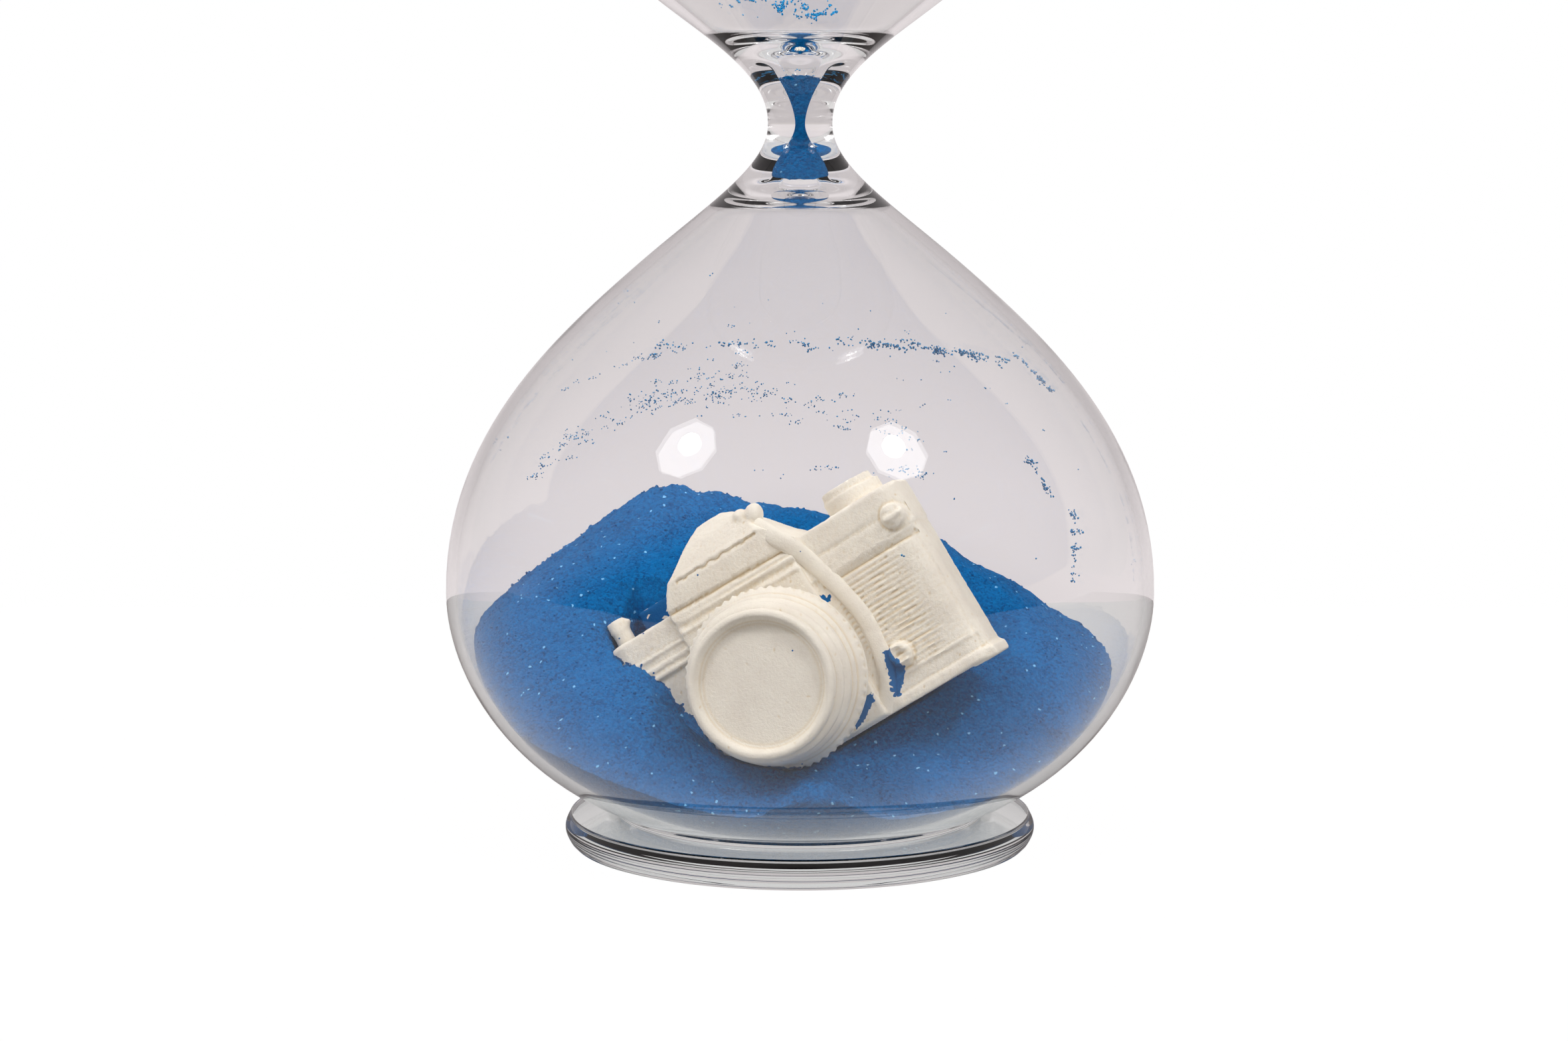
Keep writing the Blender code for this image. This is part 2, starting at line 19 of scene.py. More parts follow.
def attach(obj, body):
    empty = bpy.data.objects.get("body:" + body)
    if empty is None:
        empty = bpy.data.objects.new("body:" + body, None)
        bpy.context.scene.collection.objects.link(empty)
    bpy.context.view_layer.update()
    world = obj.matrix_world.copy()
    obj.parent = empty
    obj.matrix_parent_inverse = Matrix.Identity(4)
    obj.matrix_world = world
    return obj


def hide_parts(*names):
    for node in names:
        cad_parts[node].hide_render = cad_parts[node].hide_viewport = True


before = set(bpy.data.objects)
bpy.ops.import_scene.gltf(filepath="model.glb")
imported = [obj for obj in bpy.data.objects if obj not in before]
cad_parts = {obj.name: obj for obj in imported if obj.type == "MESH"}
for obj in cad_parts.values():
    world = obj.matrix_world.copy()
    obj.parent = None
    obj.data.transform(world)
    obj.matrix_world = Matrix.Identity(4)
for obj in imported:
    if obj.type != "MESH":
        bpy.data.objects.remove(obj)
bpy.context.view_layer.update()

GLASS_BODY = "glass_and_sand"
CAST_BODY = "camera_cast"
MM = 0.001
print("packed nodes:", ", ".join(sorted(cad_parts)))

# %% [markdown]
# ## The sizes that shape the glass and the sand
#
# A blown bulb is a smooth closed curve spun round its axis, so a few radii and slopes
# fix it. They are the glassmaker's own numbers: the waist, the straight cone below it,
# the widest ring, and the ground rim where the bulb sits on its disc.

# %% Sizes in metres
NECK_HEIGHT = 0.254
CLEARANCE = 0.0003
BULB_RADIUS = 0.125
BULB_RISE = 0.1637
BASE_RADIUS = 0.0651
BASE_SLOPE = math.radians(67)
WAIST_RADIUS = 0.01125
CONE_SLOPE = math.radians(49)
LOWER_BULB = ((0.0581, 0.0499), (0.219, 0.476))
UPPER_BULB = ((0.0571, 0.0489), (0.286, 0.399))
SHOULDER_SWEEP = (0.285, 0.415)
BELLY_SWEEP = (0.259, 0.468)
WALL = 0.0035
THROAT_RADIUS = 0.0011
MOUTH_RADIUS = 0.0066
MOUTH_RISE = 0.0235
MOUTH_FLARE = 1.6
PLUG_RADIUS = 0.029
LOWER_MOUTH, LOWER_MOUTH_RISE = 0.0070, 0.0245
FOOT_RADIUS = 0.0837
FOOT_BULGE = 0.0016
FOOT_THICKNESS = 0.0105
FOOT_BEVEL = 0.0012
BOND_THICKNESS = 0.0006
SEAL_THICKNESS = 0.0005
GLASS_STEPS = 192
print("neck joint at", NECK_HEIGHT, "m, widest ring", 2 * BULB_RADIUS, "m across")

# %% [markdown]
# ## Colour and nodes
#
# Colours are picked as sRGB hex values, the way a paint or a screen names them, and
# the renderer works in linear light, so one function turns one into the other. One
# more function adds a node to a material with its settings and its links.

# %% Colour and node helpers
def linear(code):
    channels = [int(code[place:place + 2], 16) / 255 for place in (0, 2, 4)]
    return (*[c / 12.92 if c <= 0.04045 else ((c + 0.055) / 1.055) ** 2.4
              for c in channels], 1.0)


def find_socket(sockets, key):
    for socket in sockets:
        if key in (socket.identifier, socket.name):
            return socket
    raise KeyError(key)


def add_node(tree, kind, settings=None, links=None):
    """A node with its settings, and links given as socket: (node, its output)."""
    made = tree.nodes.new(kind)
    for key, value in (settings or {}).items():
        if hasattr(made, key):
            setattr(made, key, value)
        else:
            find_socket(made.inputs, key).default_value = value
    for key, (source, output) in (links or {}).items():
        tree.links.new(find_socket(source.outputs, output), find_socket(made.inputs, key))
    return made


def new_finish(name):
    made = bpy.data.materials.new(name)
    made.use_nodes = True
    made.node_tree.nodes.clear()
    return made, made.node_tree


def ends_in(tree, shader):
    """The material's output, fed by the node that is its last shader."""
    add_node(tree, "ShaderNodeOutputMaterial", None,
             {"Surface": (shader, shader.outputs[0].name)})


def pattern(tree, coords, kind, size, detail=None, roughness=None):
    """A noise or cell pattern over the piece; size is the width of one patch."""
    settings = {"Scale": 1 / size}
    if detail is not None:
        settings["Detail"] = detail
    if roughness is not None:
        settings["Roughness"] = roughness
    return add_node(tree, "ShaderNodeTex" + kind, settings, {"Vector": (coords, "Object")})


def ranged(tree, source, output, reads, gives):
    """Turns values between the two that it reads into ones between the two it gives."""
    return add_node(tree, "ShaderNodeMapRange",
                    {"From Min": reads[0], "From Max": reads[1],
                     "To Min": gives[0], "To Max": gives[1]}, {"Value": (source, output)})


def counted(tree, operation, first, second):
    """A sum of two values, each a number or (node, its output)."""
    settings, links = {"operation": operation}, {}
    for key, value in (("Value", first), ("Value_001", second)):
        (links if isinstance(value, tuple) else settings)[key] = value
    return add_node(tree, "ShaderNodeMath", settings, links)


def blended(tree, share, first, second):
    """A colour between two, each a hex value or (node, its output)."""
    settings, links = {"data_type": "RGBA"}, {"Factor_Float": share}
    for key, value in (("A_Color", first), ("B_Color", second)):
        if isinstance(value, tuple):
            links[key] = value
        else:
            settings[key] = linear(value)
    return add_node(tree, "ShaderNodeMix", settings, links)


print("white stays", linear("FFFFFF"))


# %% [markdown]
# ## Clear glass
#
# Both bulbs are borosilicate glass blown by hand, and the discs are soda-lime glass,
# cast and ground. Clear glass has no colour of its own here: its look is what it
# bends and mirrors. Its index is 1.47 to 1.52. A hand-blown wall is never quite even,
# so a very long, very shallow wave goes over it. Lamps shine through glass, and a
# renderer that traces from the eye can't find them through a bending wall, so for
# shadow rays alone the glass counts as open.

# %% Glass finishes
def glass_finish(name, tint, index, wave_length, wave_height, film):
    """Clear glass: film is how much the surface is dulled by handling and fine dust."""
    made, tree = new_finish(name)
    coords = add_node(tree, "ShaderNodeTexCoord")
    wave = pattern(tree, coords, "Noise", wave_length, 1.0)
    bump = add_node(tree, "ShaderNodeBump", {"Strength": 1.0, "Distance": wave_height},
                    {"Height": (wave, "Fac")})
    smears = pattern(tree, coords, "Noise", 18 * MM, 3.0)
    dull = ranged(tree, smears, "Fac", (0.55, 0.8), (0.0, film))
    body = add_node(tree, "ShaderNodeBsdfPrincipled",
                    {"Base Color": linear(tint), "IOR": index,
                     "Transmission Weight": 1.0},
                    {"Roughness": (dull, "Result"), "Normal": (bump, "Normal")})
    clear = add_node(tree, "ShaderNodeBsdfTransparent", {"Color": linear(tint)})
    path = add_node(tree, "ShaderNodeLightPath")
    mix = add_node(tree, "ShaderNodeMixShader", None,
                   {"Fac": (path, "Is Shadow Ray"), "Shader": (body, "BSDF"),
                    "Shader_001": (clear, "BSDF")})
    ends_in(tree, mix)
    return made


blown_glass = glass_finish("blown_borosilicate_glass", "FEFEFE", 1.48,
                           38 * MM, 0.10 * MM, 0.02)
ground_glass = glass_finish("cast_and_ground_soda_lime_glass", "FBFDFC", 1.5,
                            30 * MM, 0.03 * MM, 0.04)
cured_bond = glass_finish("cured_clear_adhesive", "FCFCFA", 1.5,
                          12 * MM, 0.03 * MM, 0.06)
# where two pieces of glass touch through clear bond, light passes straight on
glass_contact, tree = new_finish("wetted_glass_contact")
clear = add_node(tree, "ShaderNodeBsdfTransparent", {"Color": linear("FFFFFF")})
ends_in(tree, clear)
print("glass finishes:", blown_glass.name, ground_glass.name, cured_bond.name)

# %% [markdown]
# ## Dyed sand
#
# Craft sand is quartz grains of 0.2 to 0.5 mm, dyed with pigment. Up close each grain
# has its own shade, a few faces flash like small mirrors, and the heap is matt. Those
# few grains are glossier, and their flash is painted into the colour as a paler blue
# glint. The grain pattern is drawn at 0.8 mm, a little coarser than real, so that it
# still shows at arm's length.

# %% Sand finish
PAINTED_GLINT_CUTOFF = 0.996  # grains whose random shade lies over this one flash


def sand_finish(name, deep, mid, pale, grain):
    made, tree = new_finish(name)
    coords = add_node(tree, "ShaderNodeTexCoord")
    cells = pattern(tree, coords, "Voronoi", grain)
    shade = add_node(tree, "ShaderNodeSeparateColor", None, {"Color": (cells, "Color")})
    tone = blended(tree, (shade, "Red"), deep, mid)
    damp = pattern(tree, coords, "Noise", 14 * MM, 4.0)
    patch = ranged(tree, damp, "Fac", (0.35, 0.7), (0.0, 0.35))
    dusted = blended(tree, (patch, "Result"), (tone, "Result_Color"), pale)
    # painted glint: cells over the cutoff get a paler blue painted into their colour, standing
    # in for a flash of light, and a lower roughness
    glossy_cells_with_painted_glint = counted(tree, "GREATER_THAN", (shade, "Green"), PAINTED_GLINT_CUTOFF)
    painted_glint = blended(tree, (glossy_cells_with_painted_glint, "Value"), (dusted, "Result_Color"), "7FC4EE")
    rough = ranged(tree, glossy_cells_with_painted_glint, "Value", (0.0, 1.0), (0.85, 0.25))
    bump = add_node(tree, "ShaderNodeBump",
                    {"invert": True, "Strength": 0.8, "Distance": grain * 0.5},
                    {"Height": (cells, "Distance")})
    lumps = pattern(tree, coords, "Noise", 2.4 * MM, 4.0, 0.65)
    uneven = add_node(tree, "ShaderNodeBump", {"Strength": 0.9, "Distance": 0.9 * MM},
                      {"Height": (lumps, "Fac"), "Normal": (bump, "Normal")})
    body = add_node(tree, "ShaderNodeBsdfPrincipled",
                    {"IOR": 1.46, "Specular IOR Level": 0.06},
                    {"Base Color": (painted_glint, "Result_Color"), "Roughness": (rough, "Result"),
                     "Normal": (uneven, "Normal")})
    ends_in(tree, body)
    return made


blue_sand = sand_finish("dyed_quartz_sand", "004A7E", "006AAC", "0870B2", 0.8 * MM)
# painted light: the grains on the glass get a lighter, more cyan copy of the sand, standing in
# for the lamplight they catch
painted_lighter_grains = sand_finish("dyed_quartz_grains_painted_lighter", "1478B4", "2C9AD2", "48A8DA", 0.8 * MM)
print("sand finishes:", blue_sand.name, painted_lighter_grains.name)

# %% [markdown]
# ## Cast plaster
#
# The camera is plaster of Paris, poured in a rubber mould and left unpainted. Dry
# plaster is a chalky, warm white with no gloss at all: tiny air holes and a faint
# mottling where it dried unevenly. Its hollows get a painted shade, darker and
# yellower. Blue sand dust sits in the hollows and along the line where the cast is
# buried, so a point attribute named "dust", worked out with each mesh, brings the
# sand's colour in there.

# %% Plaster finish
BARE = 0.9985  # clean plaster still has a blue speck in about one cell of 670


def plaster_finish(name, light, hollow_shade_colour, cool):
    made, tree = new_finish(name)
    coords = add_node(tree, "ShaderNodeTexCoord")
    mottle = pattern(tree, coords, "Noise", 11 * MM, 5.0, 0.6)
    spread = ranged(tree, mottle, "Fac", (0.4, 0.68), (0.0, 0.7))
    tone = blended(tree, (spread, "Result"), light, cool)
    # painted shade: points in hollows take the darker, yellower colour
    painted_hollow_shade = add_node(tree, "ShaderNodeAttribute", {"attribute_name": "painted_hollow_shade"})
    hollow_shaded = blended(tree, (painted_hollow_shade, "Fac"), (tone, "Result_Color"), hollow_shade_colour)
    grains = pattern(tree, coords, "Voronoi", 1.5 * MM)
    pick = add_node(tree, "ShaderNodeSeparateColor", None, {"Color": (grains, "Color")})
    dust = add_node(tree, "ShaderNodeAttribute", {"attribute_name": "dust"})
    lack = counted(tree, "SUBTRACT", 1.0, (dust, "Fac"))
    limit = counted(tree, "MINIMUM", (lack, "Value"), BARE)
    chosen = counted(tree, "GREATER_THAN", (pick, "Blue"), (limit, "Value"))
    size = ranged(tree, dust, "Fac", (0.0, 1.0), (0.22, 1.1))
    small = counted(tree, "LESS_THAN", (grains, "Distance"), (size, "Result"))
    speck = counted(tree, "MULTIPLY", (chosen, "Value"), (small, "Value"))
    dusty = blended(tree, (speck, "Value"), (hollow_shaded, "Result_Color"), "0B5C98")
    fine = pattern(tree, coords, "Noise", 0.9 * MM, 3.0, 0.7)
    bump = add_node(tree, "ShaderNodeBump", {"Strength": 0.8, "Distance": 0.34 * MM},
                    {"Height": (fine, "Fac")})
    body = add_node(tree, "ShaderNodeBsdfPrincipled",
                    {"IOR": 1.52, "Roughness": 0.92, "Specular IOR Level": 0.25},
                    {"Base Color": (dusty, "Result_Color"), "Normal": (bump, "Normal")})
    ends_in(tree, body)
    return made


cast_plaster = plaster_finish("cast_plaster_of_paris", "EFE8DA", "DCC8A4", "E4DBCD")
print("plaster finish:", cast_plaster.name)

# %% [markdown]
# ## Turning a piece
#
# Everything round here is turned: a half section spun about an axis. The section is a
# string of points, `bmesh.ops.spin` sweeps it, and the doubled points on the axis are
# merged before the faces are turned outwards.

# %% Turning and finishing helpers
def spun(outline, closed, steps=GLASS_STEPS):
    """A turned piece about the Z axis from (radius, height) points."""
    cage = bmesh.new()
    points = [cage.verts.new((radius, 0.0, height)) for radius, height in outline]
    edges = [cage.edges.new(pair) for pair in zip(points, points[1:])]
    if closed:
        edges.append(cage.edges.new((points[-1], points[0])))
    bmesh.ops.spin(cage, geom=points + edges, cent=(0, 0, 0), axis=(0, 0, 1),
                   dvec=(0, 0, 0), angle=math.tau, steps=steps, use_merge=True)
    bmesh.ops.remove_doubles(cage, verts=cage.verts, dist=1e-6)
    bmesh.ops.recalc_face_normals(cage, faces=cage.faces)
    return cage


def mesh_of(name, cage):
    mesh = bpy.data.meshes.new(name)
    cage.to_mesh(mesh)
    cage.free()
    return mesh


def placed(name, data):
    made = bpy.data.objects.new(name, data)
    bpy.context.scene.collection.objects.link(made)
    return made


def keep(name, cage, finish, body, nodes=(), crease=35, joints=()):
    """A finished piece riding on its body; joints are (height, radii) of touching faces."""
    for face in cage.faces:
        spot = face.calc_center_median()
        for height, (least, most) in joints:
            if (abs(spot.z - height) < 0.01 * MM and abs(face.normal.z) > 0.99
                    and least < math.hypot(spot.x, spot.y) < most):
                face.material_index = 1
    mesh = mesh_of(name, cage)
    mesh.materials.append(finish)
    if joints:
        mesh.materials.append(glass_contact)
    mesh.shade_smooth()
    mesh.set_sharp_from_angle(angle=math.radians(crease))
    made = placed(name, mesh)
    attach(made, body)
    if nodes:
        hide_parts(*nodes)
    corners = sum(len(face.vertices) - 2 for face in mesh.polygons)
    print(f"{name}: {corners} triangles, rides on {body}")
    return made


print("helpers ready")

# %% [markdown]
# ## The bulbs
#
# Each bulb's outside is three curves end to end: waist to cone, cone to widest ring,
# widest ring to ground rim. The inside runs one wall behind it, down to the plug of
# solid glass at the neck. There the glassmaker pressed a flared bore through. Hot glass
# never keeps a sharp inner corner, so one soft curve joins the wall to the bore.

# %% Outlines of a bulb
def curve_between(start, start_way, end, end_way, sweep, steps):
    start, end = Vector(start), Vector(end)
    chord = (end - start).length
    first = start + Vector(start_way) * chord * sweep[0]
    last = end - Vector(end_way) * chord * sweep[1]
    points = []
    for step in range(steps):
        t = step / steps
        points.append((1 - t) ** 3 * start + 3 * (1 - t) ** 2 * t * first
                      + 3 * (1 - t) * t ** 2 * last + t ** 3 * end)
    return points


def neck_gap():
    return SEAL_THICKNESS / 2


def rim_rise():
    return NECK_HEIGHT - FOOT_THICKNESS - BOND_THICKNESS - 2 * CLEARANCE


def outer_outline(cone, waist_sweep, steps=26):
    """Outside of a bulb as (radius, distance from the neck joint)."""
    waist = (WAIST_RADIUS, neck_gap())
    widest = (BULB_RADIUS, BULB_RISE)
    along_cone = (math.sin(CONE_SLOPE), math.cos(CONE_SLOPE))
    along_rim = (-math.sin(BASE_SLOPE), math.cos(BASE_SLOPE))
    rim = (BASE_RADIUS, rim_rise())
    points = curve_between(waist, (0, 1), cone, along_cone, waist_sweep, steps)
    points += curve_between(cone, along_cone, widest, (0, 1), SHOULDER_SWEEP, steps)
    points += curve_between(widest, (0, 1), rim, along_rim, BELLY_SWEEP, steps)
    return points + [Vector(rim)]


def wall_outline(outer):
    """Inside of a bulb from the solid neck to the rim."""
    inner = []
    for index, point in enumerate(outer[1:-1], start=1):
        along = (outer[index + 1] - outer[index - 1]).normalized()
        moved = point + Vector((-along.y, along.x)) * WALL
        if moved.x >= PLUG_RADIUS:
            inner.append(moved)
    last_way = (outer[-1] - outer[-2]).normalized()
    inner.append(Vector((outer[-1].x - WALL / abs(last_way.y), outer[-1].y)))
    return inner


def bore_radius(distance, side):
    """The bore opens like a trumpet above the joint, and like a bell below it."""
    if side > 0:
        share = min(distance / MOUTH_RISE, 1.0)
        return THROAT_RADIUS + (MOUTH_RADIUS - THROAT_RADIUS) * share ** MOUTH_FLARE
    share = min(distance / LOWER_MOUTH_RISE, 1.0)
    return THROAT_RADIUS + (LOWER_MOUTH - THROAT_RADIUS) * share ** 2 * (3 - 2 * share)


def inside_outline(outer, side):
    """From the ground rim up the wall, over the funnel and through the bore."""
    wall = wall_outline(outer)
    distances = [neck_gap() + (MOUTH_RISE - neck_gap()) * step / 24 for step in range(25)]
    bore = [Vector((bore_radius(distance, side), distance)) for distance in distances]
    funnel = curve_between(bore[-1], (bore[-1] - bore[-2]).normalized(), wall[0],
                           (wall[1] - wall[0]).normalized(), (0.42, 0.42), 26)
    return wall[:0:-1] + [wall[0]] + funnel[:0:-1] + bore[::-1]


lower_outer = outer_outline(*LOWER_BULB)
lower_wall = wall_outline(lower_outer)
print("inner wall from", round(lower_wall[0].x / MM), "mm radius at the plug")


# %% The two bulbs
def bulb_cage(shape, side):
    """Side is -1 for the bulb below the neck joint, 1 for the one above."""
    outer = outer_outline(*shape)
    outline = [(point.x, NECK_HEIGHT + side * point.y)
               for point in outer + inside_outline(outer, side)]
    return spun(outline, True)


NECK_FACE = (0.0, WAIST_RADIUS)
RIM_FACE = (lower_wall[-1].x, BASE_RADIUS)
for name, shape, side in (("lower_bulb", LOWER_BULB, -1), ("upper_bulb", UPPER_BULB, 1)):
    keep(name + "_glass", bulb_cage(shape, side), blown_glass, GLASS_BODY,
         [name], joints=((NECK_HEIGHT + side * neck_gap(), NECK_FACE),
                         (NECK_HEIGHT + side * rim_rise(), RIM_FACE)))

# %% [markdown]
# ## Discs and bond lines
#
# Each disc was cast, its rim left slightly bulged and fire-polished, and its
# underside ground with a small bevel. The bulb's ground rim is bonded to it with a
# thin clear ring, and a thinner ring joins the two necks.

# %% Discs, bonds and neck seal
def foot_outline():
    """Half section of the lower disc from the middle of its top to its underside."""
    edge = FOOT_RADIUS - FOOT_BULGE
    soft = 0.8 * MM
    outline = [(0.0, FOOT_THICKNESS), (RIM_FACE[0] - 0.4 * MM, FOOT_THICKNESS),
               (RIM_FACE[0], FOOT_THICKNESS), (RIM_FACE[1], FOOT_THICKNESS),
               (RIM_FACE[1] + 0.4 * MM, FOOT_THICKNESS), (edge - soft - MM, FOOT_THICKNESS)]
    for step in range(9):
        turn = math.pi / 2 * step / 9
        outline.append((edge - soft + soft * math.sin(turn),
                        FOOT_THICKNESS - soft + soft * math.cos(turn)))
    top, bottom = FOOT_THICKNESS - soft, FOOT_BEVEL
    for step in range(25):
        share = step / 24
        outline.append((edge + FOOT_BULGE * math.sin(math.pi * share),
                        top + (bottom - top) * share))
    return outline + [(edge - FOOT_BEVEL, 0.0), (edge - FOOT_BEVEL - MM, 0.0), (0.0, 0.0)]


def flipped(outline):
    return [(radius, 2 * NECK_HEIGHT - height) for radius, height in outline]


low, high = FOOT_THICKNESS, NECK_HEIGHT - rim_rise()
foot = foot_outline()
ring = [(RIM_FACE[0], low), (RIM_FACE[1], low), (RIM_FACE[1] + 0.15 * MM, (low + high) / 2),
        (RIM_FACE[1], high), (RIM_FACE[0], high), (RIM_FACE[0] - 0.15 * MM, (low + high) / 2)]
for side, turned in (("lower", lambda outline: outline), ("upper", flipped)):
    heights = [turned([(0, height)])[0][1] for height in (low, high)]
    keep(side + "_disc", spun(turned(foot), False), ground_glass, GLASS_BODY,
         [side + "_foot"], joints=((heights[0], RIM_FACE),))
    keep(side + "_bond", spun(turned(ring), True), cured_bond, GLASS_BODY,
         [side + "_foot_bond"], joints=[(height, RIM_FACE) for height in heights])
seal = [(radius, NECK_HEIGHT + rise) for radius, rise in
        ((WAIST_RADIUS, neck_gap()), (WAIST_RADIUS, -neck_gap()),
         (bore_radius(neck_gap(), -1), -neck_gap()), (bore_radius(neck_gap(), 1), neck_gap()))]
keep("neck_bond", spun(seal, True), cured_bond, GLASS_BODY, ["neck_seal"],
     joints=[(NECK_HEIGHT + side * neck_gap(), NECK_FACE) for side in (1, -1)])

# %% [markdown]
# ## The camera's shape
#
# The cast copies a film camera with a prism hump, a lens, dials and a wrist strap. It
# is drawn level and square about the middle of its body, then laid down in the sand
# with one matrix. Separate blocks would show seams that one pour of plaster doesn't
# have, so the blocks are melted into one skin with a voxel remesh, and the skin is
# then roughened by small vertex moves.

# %% Sizes and place of the cast
BODY = (0.118, 0.034, 0.068)
HOUSING_LEFT, HOUSING_RIGHT, HOUSING_PROUD = 0.031, 0.017, 0.0025
PANEL_DEEP = 0.7 * MM
TOP_COVER, BASE_COVER = 0.016, 0.0045
END_ROUNDING, COVER_EDGE = 0.0085, 0.0011
LENS_X, LENS_Z = -0.0075, -0.004
LENS_LENGTH = 0.036
MOUNT_LENGTH = 0.0045
RECESS_DEPTH = 0.0030
STRAP_WIDTH, STRAP_THICKNESS, STRAP_PROUD = 0.0064, 0.0032, -0.0010
CAST_TURN = Euler((math.radians(-6.0), math.radians(-32.4), math.radians(-9.1)), "XYZ")
cast_place = Matrix.Translation((0.0024, -0.0305, 0.0727)) @ CAST_TURN.to_matrix().to_4x4()
to_cast = cast_place.inverted()
FRONT = -BODY[1] / 2
TOP = BODY[2] / 2


def rounded(cage, edges, size, segments):
    return bmesh.ops.bevel(cage, geom=edges, offset=size, offset_type="OFFSET",
                           affect="EDGES", segments=segments, profile=0.5, material=-1)


def block(cage, low, high, edge=0.0, segments=2):
    """A box between two corners, its edges rounded."""
    made = bmesh.ops.create_cube(cage, size=1.0)["verts"]
    low, high = Vector(low), Vector(high)
    bmesh.ops.scale(cage, vec=high - low, verts=made)
    bmesh.ops.translate(cage, vec=(low + high) / 2, verts=made)
    if edge:
        edges = list({item for point in made for item in point.link_edges})
        rounded(cage, edges, edge, segments)


def drum(cage, radius, low, high, x, y_or_z, facing="up", top_radius=None):
    """A round boss, standing up from the top plate or out of the front."""
    made = bmesh.ops.create_cone(cage, cap_ends=True, segments=40, radius1=radius,
                                 radius2=top_radius or radius, depth=high - low)["verts"]
    bmesh.ops.translate(cage, vec=(0, 0, (high + low) / 2), verts=made)
    if facing == "front":
        bmesh.ops.rotate(cage, cent=(0, 0, 0), verts=made,
                         matrix=Matrix.Rotation(math.radians(90), 3, "X"))
        bmesh.ops.translate(cage, vec=(x, FRONT, y_or_z), verts=made)
    else:
        bmesh.ops.translate(cage, vec=(x, y_or_z, TOP), verts=made)


print("cast leans", [round(math.degrees(turn), 1) for turn in CAST_TURN], "degrees")


# %% [markdown]
# ### Body, housing and prism
#
# The body is a rounded block a little thinner where the leather panel was, with a
# top cover and a base cover left at full thickness. The prism hump is a loft: each
# level is a rectangle, narrower as it rises, and `bridge_loops` joins the levels.

# %% Blocks of the camera body
def camera_body(cage):
    wide, deep, tall = (size / 2 for size in BODY)
    for low, high, inset in ((-tall, -tall + BASE_COVER, 0.0),
                             (-tall + 4 * MM, tall - 4 * MM, PANEL_DEEP),
                             (tall - TOP_COVER, tall, 0.0)):
        made = bmesh.ops.create_cube(cage, size=1.0)["verts"]
        bmesh.ops.scale(cage, vec=(2 * wide - inset, 2 * (deep - inset), high - low),
                        verts=made)
        bmesh.ops.translate(cage, vec=(0, 0, (high + low) / 2), verts=made)
        upright = list({edge for point in made for edge in point.link_edges
                        if abs(edge.verts[0].co.z - edge.verts[1].co.z) > 0.5 * (high - low)})
        ring = rounded(cage, upright, END_ROUNDING, 8)
        rims = list({edge for face in ring["faces"] for edge in face.edges
                     if abs(edge.verts[0].co.z - edge.verts[1].co.z) < 1e-6})
        rims += [edge for edge in cage.edges if edge.is_valid and edge not in rims
                 and all(abs(point.co.z - high) < 1e-6 for point in edge.verts)]
        rounded(cage, list(set(rims)), COVER_EDGE, 3)


def lens_housing(cage):
    low = (-HOUSING_LEFT, FRONT - HOUSING_PROUD, -TOP * 0.98)
    block(cage, low, (HOUSING_RIGHT, 0.0, TOP - 0.004), 0.9 * MM)
    block(cage, (-HOUSING_LEFT, FRONT - 1.2 * MM, TOP - 0.0085),
          (HOUSING_RIGHT, 0.0, TOP - 0.0005), 0.8 * MM)


def prism_hump(cage):
    deep = BODY[1] / 2 + HOUSING_PROUD - 0.1 * MM
    levels = ((-3.0, -31.0, 21.0, 1.0), (0.3, -31.0, 21.0, 1.0), (2.5, -30.3, 18.6, 1.0),
              (5.7, -28.6, 15.2, 1.0), (9.6, -25.8, 11.8, 0.985), (10.6, -24.2, 11.2, 0.93),
              (17.3, -16.3, 5.8, 0.68), (21.2, -10.6, 1.4, 0.47), (21.9, -9.4, 0.4, 0.40))
    rings = []
    for rise, left, right, share in levels:
        made = bmesh.ops.create_grid(cage, x_segments=1, y_segments=1, size=0.5)["verts"]
        bmesh.ops.scale(cage, vec=((right - left) * MM, 2 * deep * share, 1), verts=made)
        bmesh.ops.translate(cage, vec=((right + left) / 2 * MM, 0, TOP + rise * MM), verts=made)
        rings.append(made)
    faces = [face for made in rings[1:-1] for face in made[0].link_faces]
    bmesh.ops.delete(cage, geom=faces, context="FACES_ONLY")
    for lower, upper in zip(rings, rings[1:]):
        edges = [edge for made in (lower, upper) for edge in
                 {edge for point in made for edge in point.link_edges
                  if all(end in made for end in edge.verts)}]
        bmesh.ops.bridge_loops(cage, edges=edges)


print("body blocks ready")


# %% [markdown]
# ### Dials, lever and small bosses
#
# The film wind knob, the lever beside it, a wide shutter dial of two tiers, a small
# round cover on the front and a flash terminal below it are all plain turned shapes
# on the real camera, softened by the mould.

# %% Small parts of the camera
FRONT_DIAL, TERMINAL = (0.0532, 0.0232), (0.0312, -0.0182)
ROOT = -0.003  # how deep a boss is rooted, so that it melts into the body


